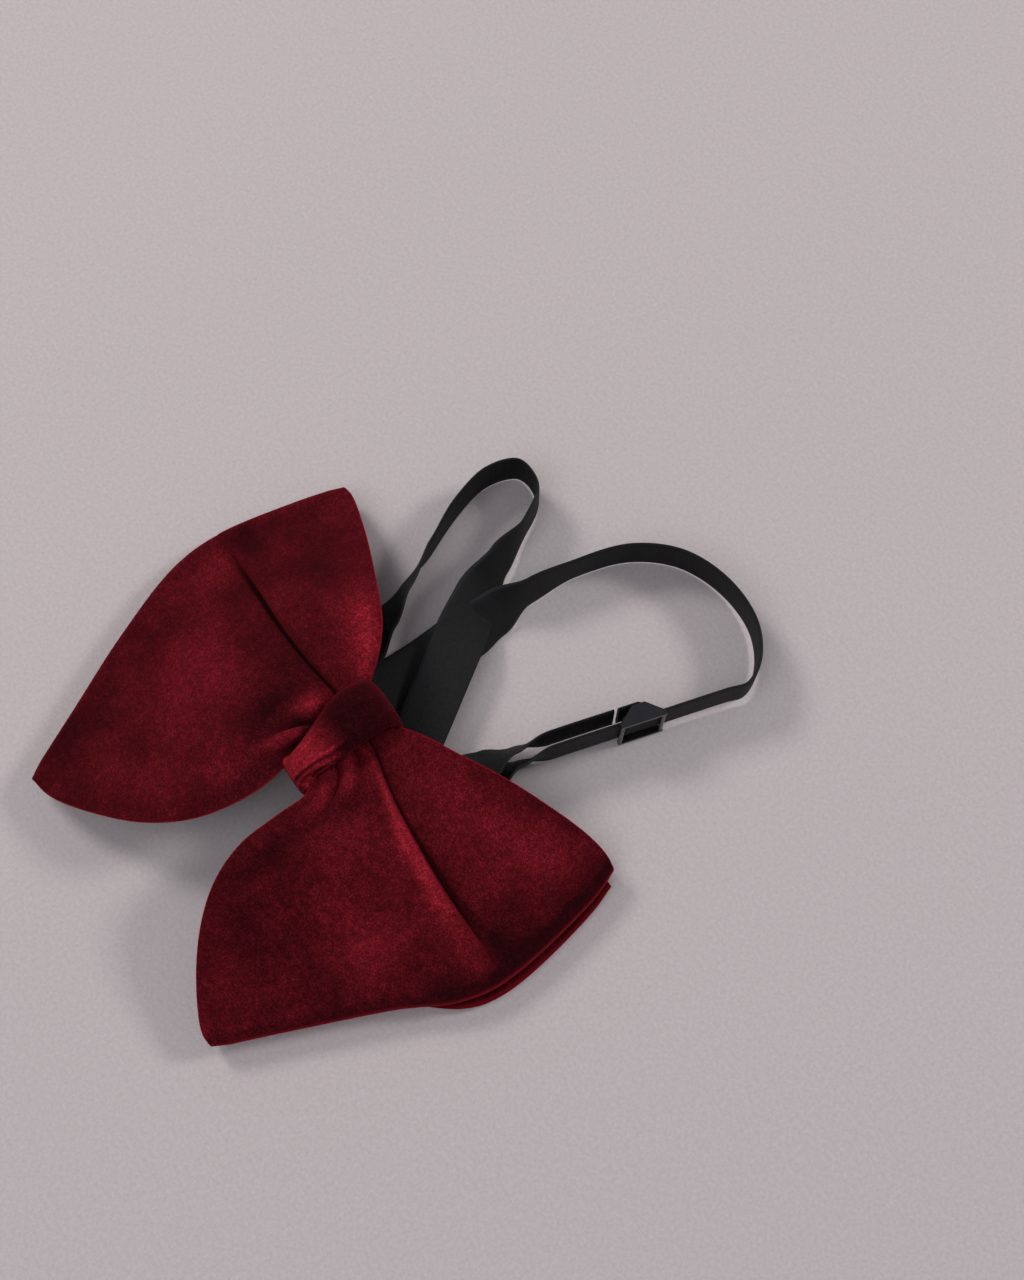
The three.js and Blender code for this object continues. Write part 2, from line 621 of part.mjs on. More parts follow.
// ---- keeper and tape ----------------------------------------------------------------------------------
const KEEPER_X = 4.6;
const keeperHalf = BAND_WIDTH / 2 + FIT;
const keeperBox = [-keeperHalf, keeperHalf, BAND_Z - BAND / 2 - CLEAR, BAND_Z + BAND / 2 + CLEAR];
const keeper = hoop(KEEPER_WIDTH / 2, keeperBox, KEEPER, 0.3);
keeper.translate(KEEPER_X, 0, 0);

const loopTape = new THREE.BoxGeometry(WAIST_X, WAIST_TOP - WAIST_BOTTOM - 2, TAPE);
loopTape.translate(0, (WAIST_TOP + WAIST_BOTTOM) / 2, tailZ0 + CLOTH / 2 + CLEAR + TAPE / 2);

// ---- assembly -------------------------------------------------------------------------------------------
const look = (color, roughness, metalness = 0) => ({ color, roughness, metalness });
const WINE = look(0x4e0810, 0.85);
const PALE = look(0xd8d2c6, 0.9);
const BLACK = look(0x101013, 0.75);
const STEEL = look(0x33343a, 0.35, 0.9);
const WINE_THREAD = look(0x3a060c, 0.7);

const pieces = [
  ['loop_velvet', velvetSkin(loopGrid), WINE],
  ['loop_interlining', interlining(loopGrid), PALE],
  ['loop_join_tape', loopTape, PALE],
  ['tails_velvet', velvetSkin(tailGrid), WINE],
  ['tails_interlining', interlining(tailGrid), PALE],
  ['waist_thread', waistThread, WINE_THREAD],
  ['knot_wadding', loft(waddingRings), PALE],
  ['knot_wrap', knotWrap, WINE],
  ['band_keeper', keeper, BLACK],
  ['neckband', neckband, BLACK],
  ['band_return_run', ribbon(returnRows), BLACK],
  ['band_sewn_end', ribbon(sewnEnd), BLACK],
  ['adjuster_slide', adjuster.applyMatrix4(slideFrame), STEEL],
  ['hook', flatHook().applyMatrix4(hookFrame), STEEL],
  ['eye_loop', wireEye().applyMatrix4(eyeFrame), STEEL],
  ['hook_end_tack', tack(hookFrame, 2 * END_TURN, 0), BLACK],
  ['eye_end_tack', tack(eyeFrame, 2 * END_TURN, 0), BLACK],
];

const bow = new THREE.Group();
for (const [name, geometry, { color, roughness, metalness }] of pieces) {
  const mesh = new THREE.Mesh(geometry, new THREE.MeshStandardMaterial({ color, roughness, metalness }));
  mesh.name = name;
  bow.add(mesh);
}

// The origin is on the floor, under the middle of the whole object.
const extent = new THREE.Box3().setFromObject(bow, true);
const shift = extent.getCenter(V(0, 0, 0)).negate().setZ(-extent.min.z);
for (const mesh of bow.children) {
  mesh.position.copy(shift);
}

// Where the moving fittings turn and slide, in the placed frame.
const axisOf = (frame, column) => new THREE.Vector3().setFromMatrixColumn(frame, column).toArray();
const centreOf = (frame) => V(0, 0, 0).setFromMatrixPosition(frame).add(shift).toArray();
const steps = neckbandStations.slice(1).map((at, i) => at.point.distanceTo(neckbandStations[i].point));
bow.userData.axes = {
  shift: shift.toArray(),
  slide: { along: axisOf(slideFrame, 0) },
  hook: { at: centreOf(hookFrame), axis: axisOf(hookFrame, 1) },
  eye: { at: centreOf(eyeFrame), axis: axisOf(eyeFrame, 1) },
  bandLength: steps.reduce((sum, step) => sum + step, 0),
};

export default bow;
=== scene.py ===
"""Looks of the velvet butterfly bow tie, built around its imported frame."""
import math

import bpy
import numpy as np
from mathutils import Matrix, Vector


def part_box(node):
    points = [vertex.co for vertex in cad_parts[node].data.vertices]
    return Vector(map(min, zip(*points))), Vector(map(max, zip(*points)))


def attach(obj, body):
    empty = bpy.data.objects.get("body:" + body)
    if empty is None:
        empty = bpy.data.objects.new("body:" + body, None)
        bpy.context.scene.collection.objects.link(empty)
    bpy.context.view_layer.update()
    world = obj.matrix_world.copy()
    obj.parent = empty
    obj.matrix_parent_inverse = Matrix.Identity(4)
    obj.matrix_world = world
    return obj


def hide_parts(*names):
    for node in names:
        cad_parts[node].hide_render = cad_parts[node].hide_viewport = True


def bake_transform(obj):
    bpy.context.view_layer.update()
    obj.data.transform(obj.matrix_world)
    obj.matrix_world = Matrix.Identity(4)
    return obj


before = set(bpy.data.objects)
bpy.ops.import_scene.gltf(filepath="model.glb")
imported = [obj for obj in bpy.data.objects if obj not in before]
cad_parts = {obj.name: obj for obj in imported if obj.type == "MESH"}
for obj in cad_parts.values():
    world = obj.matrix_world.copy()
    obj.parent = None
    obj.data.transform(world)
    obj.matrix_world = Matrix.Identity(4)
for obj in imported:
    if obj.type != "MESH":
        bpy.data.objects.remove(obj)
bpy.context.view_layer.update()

# ---- frame of the design: millimetres, origin under the knot, in the row's own directions ----------
WRAP_LOW_Y, WRAP_LOW_Z = -20.8, 12.8
WRAP_HIGH_Y, WRAP_HIGH_Z = 11.8, 34.6
UP = np.array([0, 0, 1.0])
wrap_low, wrap_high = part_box("knot_wrap")
ORIGIN = np.array([(wrap_low.x + wrap_high.x) / 2, wrap_low.y - WRAP_LOW_Y / 1000,
                   wrap_low.z - WRAP_LOW_Z / 1000])


def metres(points):
    """Design millimetres to row metres."""
    return np.asarray(points, float) / 1000 + ORIGIN


def lerp(a, b, t):
    return a + (b - a) * t


def smooth(x, a, b):
    """0 below a, 1 above b, eased between."""
    t = np.clip((np.asarray(x, float) - a) / (b - a), 0, 1)
    return t * t * (3 - 2 * t)


def fading(x, full, gone):
    """1 below full, 0 above gone, eased between."""
    return smooth(-np.asarray(x, float), -gone, -full)


def bump(x, width):
    """1 at x = 0, dying away on both sides."""
    return np.exp(-((np.asarray(x, float) / width) ** 2))


def table(pairs, x):
    return np.interp(x, [p[0] for p in pairs], [p[1] for p in pairs])


def soft_table(pairs, x):
    """Like table, without kinks at the given points."""
    x = np.asarray(x, float)
    offsets = np.linspace(-0.07, 0.07, 9)
    return np.mean([table(pairs, np.clip(x + o, pairs[0][0], pairs[-1][0])) for o in offsets], axis=0)


def unit(v):
    return v / np.maximum(np.linalg.norm(v, axis=-1, keepdims=True), 1e-9)


# ---- camera ----------------------------------------------------------------------------------------
AZIMUTH, ELEVATION = math.radians(55.1), math.radians(72)
LENS, SENSOR = 50, 36
VIEW_DISTANCE = 0.4594
KNOT_TOP = metres([0, 0, 36])
KNOT_IN_VIEW = (-0.125, -0.0633)      # right and up of the view's middle, in shares of its height
VIEW_RIGHT = Vector((math.cos(AZIMUTH), math.sin(AZIMUTH), 0))
VIEW_AWAY = Vector((-math.sin(AZIMUTH), math.cos(AZIMUTH), 0))     # level, away from the camera


def make_camera():
    forward = VIEW_AWAY * math.cos(ELEVATION) - Vector(UP) * math.sin(ELEVATION)
    up = VIEW_RIGHT.cross(forward)
    view_height = SENSOR / LENS * VIEW_DISTANCE
    eye = Vector(KNOT_TOP) - forward * VIEW_DISTANCE
    eye -= (VIEW_RIGHT * KNOT_IN_VIEW[0] + up * KNOT_IN_VIEW[1]) * view_height
    data = bpy.data.cameras.new("camera")
    data.lens = LENS
    data.sensor_width = SENSOR
    data.sensor_fit = "AUTO"
    camera = bpy.data.objects.new("camera", data)
    rows = [(VIEW_RIGHT[k], up[k], -forward[k], eye[k]) for k in range(3)]
    camera.matrix_world = Matrix((*rows, (0, 0, 0, 1)))
    bpy.context.scene.collection.objects.link(camera)
    bpy.context.scene.camera = camera


# ---- materials -------------------------------------------------------------------------------------
class Look:
    """A material being wired: its nodes, its shader, and sums of what feeds it."""

    def __init__(self, name):
        self.material = bpy.data.materials.new(name)
        self.material.use_nodes = True
        self.nodes = self.material.node_tree.nodes
        self.shader = self.nodes["Principled BSDF"]
        self.place = self.nodes.new("ShaderNodeTexCoord").outputs["Object"]

    def feed(self, socket, value):
        """Wires an output into the socket, or sets a number or a colour on it."""
        if isinstance(value, (int, float)):
            socket.default_value = value
        elif isinstance(value, tuple):
            socket.default_value = (*value, 1)
        else:
            self.material.node_tree.links.new(value, socket)

    def shade(self, **values):
        """Feeds the shader's inputs, with _ for the spaces in their names."""
        for name, value in values.items():
            self.feed(self.shader.inputs[name.replace("_", " ")], value)

    def attribute(self, name):
        node = self.nodes.new("ShaderNodeAttribute")
        node.attribute_name = name
        return node.outputs["Fac"]

    def noise(self, scale, detail=3.0, roughness=0.6):
        node = self.nodes.new("ShaderNodeTexNoise")
        self.feed(node.inputs["Vector"], self.place)
        self.feed(node.inputs["Scale"], scale)
        self.feed(node.inputs["Detail"], detail)
        self.feed(node.inputs["Roughness"], roughness)
        return node.outputs["Fac"]

    def calculate(self, operation, a, b=0.0):
        node = self.nodes.new("ShaderNodeMath")
        node.operation = operation
        self.feed(node.inputs[0], a)
        self.feed(node.inputs[1], b)
        return node.outputs[0]

    def times(self, a, b):
        return self.calculate("MULTIPLY", a, b)

    def total(self, first, *others):
        for other in others:
            first = self.calculate("ADD", first, other)
        return first

    def ramp(self, value, stops):
        node = self.nodes.new("ShaderNodeValToRGB")
        elements = node.color_ramp.elements
        while len(elements) < len(stops):
            elements.new(0.5)
        for element, (position, colour) in zip(elements, stops):
            element.position = position
            element.color = (*colour, 1)
        self.feed(node.inputs["Fac"], value)
        return node.outputs["Color"]

    def mix(self, factor, a, b, blend_type="MIX"):
        node = self.nodes.new("ShaderNodeMix")
        node.data_type = "RGBA"
        node.blend_type = blend_type
        for slot, value in ((0, factor), (6, a), (7, b)):
            self.feed(node.inputs[slot], value)
        return node.outputs[2]

    def relief(self, height, strength, distance):
        node = self.nodes.new("ShaderNodeBump")
        for name, value in (("Height", height), ("Strength", strength), ("Distance", distance)):
            self.feed(node.inputs[name], value)
        self.shade(Normal=node.outputs["Normal"])


def velvet():
    """Cut pile: dark looked at straight on, lit where it turns away by the shader's sheen and by painted
    sheen in its colour, mottled where the pile is brushed.

    The mesh carries how the pile lies, with painted light and shade laid over it (0 dark to 1 light), the
    turned edges, which get a painted sheen highlight, and the pressed creases, which get painted shade.
    """
    look = Look("wine_velvet")
    pile = look.noise(2100, 2.0, 0.75)
    clumps = look.noise(620, 3.0, 0.7)
    brushed = look.noise(95, 4.0, 0.62)
    swept = look.noise(30, 2.0, 0.5)
    # the pile's random brushing plus the mesh's painted light and shade
    pile_and_light = look.total(look.times(brushed, 0.70), look.times(swept, 0.45), -0.575, look.attribute("pile_and_painted_light"))
    dye_and_painted_light = look.ramp(pile_and_light, [
        (0.0, (0.018, 0.0010, 0.0022)), (0.25, (0.050, 0.0022, 0.0046)),
        (0.55, (0.108, 0.0046, 0.0090)), (1.0, (0.240, 0.0110, 0.0200))])
    speck = look.total(look.times(pile, 0.65), look.times(clumps, 0.35))
    grain = look.ramp(speck, [(0.32, (0.36, 0.34, 0.34)), (0.5, (0.85, 0.85, 0.85)), (0.66, (2.1, 2.3, 2.3))])
    # painted sheen: the colour turns bright red where the surface turns away from the view
    facing = look.nodes.new("ShaderNodeLayerWeight")
    facing.inputs["Blend"].default_value = 0.3
    painted_sheen_share = look.times(facing.outputs["Facing"], 0.35)
    with_painted_sheen = look.mix(painted_sheen_share, look.mix(1.0, dye_and_painted_light, grain, "MULTIPLY"), (0.22, 0.008, 0.018))
    # painted sheen highlight along the turned edges
    with_edge_sheen = look.mix(look.times(look.attribute("painted_sheen_edges"), 0.75), with_painted_sheen, (0.26, 0.005, 0.013))
    # painted shade: the colour goes near black in the pressed creases
    look.shade(Base_Color=look.mix(look.attribute("painted_crease_shade"), with_edge_sheen, (0.004, 0.0006, 0.001)),
               Roughness=0.95, Specular_IOR_Level=0.05,
               Sheen_Weight=0.22, Sheen_Roughness=0.35, Sheen_Tint=(0.9, 0.05, 0.09))
    look.relief(look.total(look.times(pile, 0.6), clumps), 0.5, 0.0005)
    return look.material


RIB_PITCH, WARP_PITCH = 0.55, 0.4
SELVEDGE_FROM = 6.6                   # half width at which the ribbon's tighter edge begins


def ribbon_weave():
    """Matt black woven ribbon, ribbed across, with a tighter edge."""
    look = Look("black_ribbon")
    across = look.attribute("across")
    rib = look.calculate("SINE", look.times(look.attribute("along"), 2 * math.pi / RIB_PITCH))
    warp = look.calculate("SINE", look.times(across, 2 * math.pi / WARP_PITCH))
    selvedge = look.calculate("GREATER_THAN", look.calculate("ABSOLUTE", across), SELVEDGE_FROM)
    tone = look.mix(look.noise(700), (0.003, 0.003, 0.0035), (0.011, 0.011, 0.013))
    tone = look.mix(look.times(selvedge, 0.5), tone, (0.016, 0.016, 0.019))
    look.shade(Base_Color=tone, Roughness=0.7, Specular_IOR_Level=0.25)
    look.relief(look.total(rib, look.times(warp, 0.35)), 0.5, 0.00012)
    return look.material


def plated_metal():
    """Black nickel, a little smeared and scuffed by handling."""
    look = Look("black_nickel")
    scuffs = look.noise(900, 4.0, 0.7)
    smears = look.noise(70, 2.0)
    look.shade(Base_Color=look.ramp(smears, [(0.3, (0.052, 0.053, 0.059)), (0.75, (0.074, 0.075, 0.082))]),
               Roughness=look.ramp(scuffs, [(0.3, (0.24, 0.24, 0.24)), (0.8, (0.34, 0.34, 0.34))]),
               Metallic=1.0)
    look.relief(scuffs, 0.15, 0.00005)
    return look.material


def sewing_thread():
    look = Look("black_sewing_thread")
    strands = look.noise(2500, 4.0, 0.7)
    look.shade(Base_Color=look.mix(strands, (0.006, 0.006, 0.008), (0.03, 0.03, 0.034)), Roughness=0.9)
    look.relief(strands, 0.5, 0.0002)
    return look.material


def floor_card():
    """Pale uncoated card."""
    look = Look("floor_card")
    fibre = look.noise(900, 4.0, 0.8)
    look.shade(Base_Color=look.ramp(fibre, [(0.3, (0.44, 0.393, 0.405)), (0.7, (0.55, 0.497, 0.511))]),
               Roughness=0.95)
    return look.material


VELVET_LOOK = velvet()
RIBBON_LOOK = ribbon_weave()
METAL_LOOK = plated_metal()
THREAD_LOOK = sewing_thread()


# ---- meshes ----------------------------------------------------------------------------------------
RIM_STEPS = 4                         # mesh lines round a sheet's edge
SEAMED_SHARE = 0.3                    # share of its thickness that a sheet keeps at a seamed edge
SEAM_REACH = 4.5                      # how far in from the edge the sheet is full
SEAM_DROP = 0.6                       # share of the lost thickness that comes off the upper face


def make_object(name, points, faces, look, attributes=None):
    """An object from design millimetres, with its point attributes."""
    mesh = bpy.data.meshes.new(name)
    mesh.from_pydata([tuple(p) for p in metres(points)], [], [tuple(int(i) for i in f) for f in faces])
    mesh.materials.append(look)
    for polygon in mesh.polygons:
        polygon.use_smooth = True
    for key, values in (attributes or {}).items():
        layer = mesh.attributes.new(key, "FLOAT", "POINT")
        layer.data.foreach_set("value", np.asarray(values, np.float32))
    mesh.validate()
    thing = bpy.data.objects.new(name, mesh)
    bpy.context.scene.collection.objects.link(thing)
    return thing


def grid_normals(grid):
    return unit(np.cross(np.gradient(grid, axis=0), np.gradient(grid, axis=1)))


def cloth_rings(grid, thickness, guide=None):
    """Closed rings round a sheet, over its face, round one edge, back underneath and round the other edge.

    The thickness is laid off square to guide, which is the sheet without its pressed pleat, so that the
    pleat stays open. The second result is 1 on the turned edges, where the velvet gets a painted sheen
    highlight, and 0 elsewhere.
    """
    normals = grid_normals(grid if guide is None else guide)
    run = unit(np.gradient(grid, axis=0))
    count = grid.shape[1]
    steps = np.linalg.norm(np.diff(grid, axis=1), axis=2)
    from_first = np.concatenate([np.zeros((len(grid), 1)), np.cumsum(steps, axis=1)], axis=1)
    inside = np.minimum(from_first, from_first[:, -1:] - from_first)
    thinned = (1 - SEAMED_SHARE) * (1 - smooth(inside, 0, SEAM_REACH))[..., None]
    half = thickness / 2 * (1 - thinned)
    top = grid + normals * (half - thickness / 2 * thinned * SEAM_DROP)
    under = top - 2 * normals * half
    ends = []
    for j, inner, start in ((-1, -2, 1), (0, 1, -1)):
        outward = unit(np.cross(run[:, j], normals[:, j]))
        outward *= np.sign(np.sum(outward * (grid[:, j] - grid[:, inner]), axis=1, keepdims=True))
        centre = (top[:, j] + under[:, j]) / 2
        angles = np.linspace(0, math.pi, RIM_STEPS + 2)[1:-1]
        ends.append(np.stack([centre + start * normals[:, j] * half[:, j] * math.cos(a)
                              + outward * half[:, j] * math.sin(a) for a in angles], axis=1))
    rings = np.concatenate([top, ends[0], under[:, ::-1], ends[1]], axis=1)
    painted_sheen_edges = np.zeros(rings.shape[:2])
    painted_sheen_edges[:, count - 1:count + RIM_STEPS] = 1
    painted_sheen_edges[:, 2 * count + RIM_STEPS:] = 1
    painted_sheen_edges[:, 0] = 1
    return rings, painted_sheen_edges


def round_the_sheet(values):
    """Values of a sheet's grid, spread over the rings that cloth_rings makes of it."""
    last = np.repeat(values[:, -1:], RIM_STEPS, axis=1)
    first = np.repeat(values[:, :1], RIM_STEPS, axis=1)
    return np.concatenate([values, last, values[:, ::-1], first], axis=1)


def loft(rings, hoop=False):
    """Points and faces of a skin over rings, closed by caps, or as a hoop by joining last to first."""
    rows, count = rings.shape[:2]
    faces = []
    k = np.arange(count)
    n = (k + 1) % count
    for i in range(rows if hoop else rows - 1):
        a, b = i * count, ((i + 1) % rows) * count
        faces.extend(np.stack([a + k, a + n, b + n, b + k], axis=1).tolist())
    if not hoop:
        faces.append(list(range(count)))
        faces.append(list(range((rows - 1) * count, rows * count))[::-1])
    return rings.reshape(-1, 3), faces


def catmull(points, count):
    """Centripetal Catmull-Rom curve through the points, even in its own parameter, as the frame's are."""
    p = np.asarray(points, float)
    q = np.vstack([2 * p[0] - p[1], p, 2 * p[-1] - p[-2]])
    result = []
    for t in np.linspace(0, len(p) - 1, count):
        i = min(int(t), len(p) - 2)
        w = t - i
        a, b, c, d = q[i:i + 4]
        dt0 = max(np.linalg.norm(b - a) ** 0.5, 1e-4)
        dt1 = max(np.linalg.norm(c - b) ** 0.5, 1e-4)
        dt2 = max(np.linalg.norm(d - c) ** 0.5, 1e-4)
        t1 = ((b - a) / dt0 - (c - a) / (dt0 + dt1) + (c - b) / dt1) * dt1
        t2 = ((c - b) / dt1 - (d - b) / (dt1 + dt2) + (d - c) / dt2) * dt1
        c2, c3 = -3 * b + 3 * c - 2 * t1 - t2, 2 * b - 2 * c + t1 + t2
        result.append(b + t1 * w + c2 * w * w + c3 * w ** 3)
    return np.array(result)


class Edge:
    """A plan curve read by the share of its length."""

    def __init__(self, points):
        self.fine = catmull(points, 400)
        steps = np.concatenate([[0], np.cumsum(np.linalg.norm(np.diff(self.fine, axis=0), axis=1))])
        self.share = steps / steps[-1]

    def at(self, t):
        return np.stack([np.interp(t, self.share, self.fine[:, k]) for k in (0, 1)], axis=-1)


# ---- plan of the wings -----------------------------------------------------------------------------
# Each side's outline, |x| and y from the knot, so that the two wings differ as hand-tied ones do.
LEFT, RIGHT = -1, 1
OUTLINES = {
    LEFT: {
        "top": [(8.2, 9.0), (13.5, 16.0), (21.1, 22.4), (34, 28.5), (51.6, 35.3), (63.5, 38.4), (67.8, 37.8)],
        "outer": [(45.5, -77.8), (54.1, -60.5), (66.4, -37), (75.6, -14), (76.6, 0.5), (72, 23),
                  (67.8, 37.8)],
        "bottom": [(4.6, -17.0), (2.8, -20.5), (1.4, -26), (1.4, -34), (4.4, -46.2), (10.9, -56.6),
                   (19, -64.6), (35.9, -75.8), (45.5, -77.8)],
    },
    RIGHT: {
        "top": [(4.8, 9.0), (11.5, 13.6), (21.6, 18.9), (36.4, 27.3), (55.7, 35.6), (63.9, 37.2),
                (67.4, 36.4)],
        "outer": [(45.3, -75.1), (53.9, -54.7), (64.6, -30.4), (72.6, -16), (75.1, -3.6), (70.9, 26),
                  (67.4, 36.4)],
        "bottom": [(5.6, -17.0), (7.4, -20.5), (7.8, -28), (8.7, -41), (12.9, -52.3), (21.2, -62.6),
                   (33.1, -71.8), (41.2, -75.6), (45.3, -75.1)],
    },
}
EDGES = {side: {key: Edge(points) for key, points in outline.items()} for side, outline in OUTLINES.items()}
BELLY = {LEFT: 6, RIGHT: 7}           # how far each wing's lower half is drawn outward


def wing_plan(side, u, v):
    """Plan position of share u from waist to fold, share v from lower to upper edge."""
    edges = EDGES[side]
    u, v = np.broadcast_arrays(np.asarray(u, float), np.asarray(v, float))
    low_end, high_end = (np.array(OUTLINES[side][key][0]) for key in ("bottom", "top"))
    a, b = u[..., None], v[..., None]
    zero, one = np.zeros_like(u), np.ones_like(u)

    def inner(share):
        return low_end + share[..., None] * (high_end - low_end)

    point = (1 - b) * edges["bottom"].at(u) + b * edges["top"].at(u)
    point += (1 - a) * inner(v) + a * edges["outer"].at(v)
    point -= (1 - a) * (1 - b) * inner(zero) + (1 - a) * b * inner(one)
    point -= a * (1 - b) * edges["outer"].at(zero) + a * b * edges["outer"].at(one)
    along = np.sin(math.pi * np.sqrt(np.clip(u, 0, 1)))
    up_the_wing = 2 * np.sqrt(np.clip(v * (1 - v), 0, 1)) * (1 - v)
    point[..., 0] += BELLY[side] * along * up_the_wing
    return point


# Heights, from the waist out to the fold.
TAIL_Z = [(0, 17.25), (0.15, 17.5), (0.35, 16.4), (0.6, 10.4), (0.85, 3.9), (1, 1.3)]
BACK_GAP = [(0, 3.3), (0.6, 3.3), (1, 3.0)]
FRONT_GAP = [(0, 5.3), (0.15, 6.2), (0.35, 6.0), (0.6, 5.4), (0.85, 4.3), (0.955, 3.6), (1, 3.6)]
CLOTH = 2.4                           # one made-up layer: velvet, interlining, velvet
OUTER_U = 0.955                       # where the front strip turns over at its fold


def tail_z(u):
    return soft_table(TAIL_Z, u)


def back_z(u):
    return tail_z(u) + table(BACK_GAP, u)


# The pressed pleat of each wing, by share out from the waist: the line it runs on, how deep it is, how
# wide it opens, how far the other panel rolls up beside it and how much painted shade darkens it. The
# lower panel dips to the pleat where sinks is -1, the upper one where it is 1.
PLEATS = {
    LEFT: {
        "sinks": -1,
        "line": [(0, 0.71), (0.08, 0.665), (0.26, 0.645), (0.45, 0.665), (0.7, 0.685), (1, 0.69)],
        "depth": [(0, 0.4), (0.1, 1.0), (0.35, 1.6), (0.7, 2.2), (0.8, 1.6), (0.9, 0.2), (0.95, 0), (1, 0)],
        "open": [(0, 0.8), (0.2, 1.0), (0.45, 1.4), (0.7, 2.1), (0.82, 2.4), (0.9, 2.2), (1, 2.0)],
        "ridge": [(0, 0.2), (0.3, 0.6), (0.7, 0.9), (0.95, 0.2), (1, 0)],
        "dark": [(0, 0.6), (0.1, 0.95), (0.66, 1.0), (0.78, 0.6), (0.86, 0), (1, 0)],
    },
    RIGHT: {
        "sinks": 1,
        "line": [(0, 0.72), (0.08, 0.655), (0.2, 0.641), (0.66, 0.643), (0.85, 0.65), (1, 0.653)],
        "depth": [(0, 0.6), (0.1, 1.4), (0.4, 1.9), (0.7, 3.0), (0.82, 2.8), (0.89, 0.6), (0.93, 0), (1, 0)],
        "open": [(0, 0.8), (0.3, 1.0), (0.6, 2.4), (0.8, 4.6), (0.92, 6.0), (1, 6.0)],
        "ridge": [(0, 0.6), (0.3, 1.4), (0.7, 1.8), (0.84, 1.2), (0.92, 0), (1, 0)],
        "dark": [(0, 0.3), (0.1, 0.6), (0.3, 0.6), (0.5, 0.75), (0.76, 0.6), (0.87, 0), (1, 0)],
    },
}
PLEAT_LIP = 0.55                      # width of the pleat's steep side
LOWER_SHARE = 0.7                     # share of the mesh's lines on the wider panel
SEAM_LINES = 0.003                    # extra mesh lines lie this near to both edges

# How the pile lies over each front sheet, with painted highlights and painted shade laid in over its pleat,
# folds and knot side: (share out, share up, reach out, reach up, lighter or darker).
PILE_LIGHT_LEVEL, PILE_LIGHT_SWING = 0.30, 1.25
PILE_AND_LIGHT_PATCHES = {
    LEFT: [
        (0.14, 0.50, 0.07, 0.07, 0.22), (0.11, 0.36, 0.06, 0.07, -0.30), (0.30, 0.40, 0.10, 0.12, -0.22),
        (0.62, 0.42, 0.14, 0.13, 0.20), (0.45, 0.12, 0.25, 0.09, 0.16), (0.28, 0.93, 0.24, 0.09, 0.48),
        (0.70, 0.86, 0.18, 0.08, -0.16), (0.86, 0.62, 0.07, 0.06, 0.10), (0.90, 0.73, 0.09, 0.045, -0.30),
        (0.50, 0.58, 0.16, 0.05, -0.12), (0.95, 0.10, 0.08, 0.12, -0.18), (0.80, 0.25, 0.10, 0.10, -0.08),
        (0.0, 0.5, 0.035, 0.4, -0.55),
    ],
    RIGHT: [
        (0.42, 0.615, 0.36, 0.03, 0.66), (0.5, 0.82, 0.5, 0.14, 0.17), (0.5, 0.4, 0.5, 0.3, 0.06),
        (0.75, 0.40, 0.11, 0.09, 0.20), (0.62, 0.88, 0.13, 0.06, 0.16), (0.40, 0.82, 0.12, 0.06, 0.10),
        (0.35, 0.36, 0.12, 0.10, 0.10), (0.30, 0.10, 0.16, 0.07, -0.20), (0.86, 0.76, 0.08, 0.09, -0.12),
        (0.16, 0.30, 0.07, 0.09, -0.16), (0.975, 0.80, 0.055, 0.26, -0.50), (0.97, 0.20, 0.018, 0.5, -0.22),
        (0.60, 0.12, 0.12, 0.10, -0.08), (0.88, 0.69, 0.05, 0.035, -0.25),
    ],
}

# Folds that leave the knot: (height, share up at the waist, drift for each share out, width, whole up to
# this share out, gone from this one).
FOLDS = {
    LEFT: [
        (-2.6, 0.37, -0.5, 0.03, 0.04, 0.20), (1.9, 0.28, -0.4, 0.05, 0.05, 0.26),
        (-1.8, 0.19, -0.3, 0.03, 0.04, 0.20),
    ],
    RIGHT: [
        (1.2, 0.40, -0.35, 0.05, 0.05, 0.24), (-1.3, 0.30, -0.45, 0.035, 0.05, 0.20),
        (0.7, 0.15, -0.1, 0.05, 0.05, 0.30), (-0.7, 0.52, -0.3, 0.035, 0.05, 0.30),
    ],
}
FAN_START = {LEFT: 0.3, RIGHT: 0.75}
FAN_HEIGHT, FAN_TURNS = 0.45, 4.6


def pleat_columns(count):
    """Mesh lines across a wing, closer beside the pleat and at both edges."""
    t = np.linspace(0, 1, count)
    lower = LOWER_SHARE * (1 - (1 - t) ** 2.2)
    upper = LOWER_SHARE + (1 - LOWER_SHARE) * t ** 1.9
    return np.concatenate([[0, SEAM_LINES], lower[1:], upper[1:-1], [1 - SEAM_LINES, 1]])


def share_up(w, line):
    """Share up the wing of mesh line w, where the pleat lies at share line."""
    on_lower = w / LOWER_SHARE * line
    on_upper = line + (w - LOWER_SHARE) / (1 - LOWER_SHARE) * (1 - line)
    return np.where(w < LOWER_SHARE, on_lower, on_upper)


def wandering(x, y, seed):
    """Slow waves that stand in for the hand of the cloth."""
    total = 0
    for k, (fx, fy) in enumerate(((0.07, 0.05), (-0.045, 0.09), (0.12, -0.04), (0.09, 0.11))):
        total = total + np.sin(fx * x + fy * y + seed * (k + 1.3)) / (k + 1.5)
    return total


def gathers(side, u, v):
    """A fan of small folds out of the knot, and the deeper ones at each wing's lower gathers."""
    fan = np.sin(2 * math.pi * (v * FAN_TURNS + FAN_START[side]) + 2.0 * u) * bump(v - 0.3, 0.34)
    z = FAN_HEIGHT * fan * smooth(u, 0.0, 0.05) * fading(u, 0.06, 0.34)
    for height, start, drift, width, whole, gone in FOLDS[side]:
        z = z + height * bump(v - start - drift * u, width) * fading(u, whole, gone)
    if side == LEFT:
        z = z + 1.5 * bump(v - 0.5, 0.09) * bump(u - 0.11, 0.06)
    return z


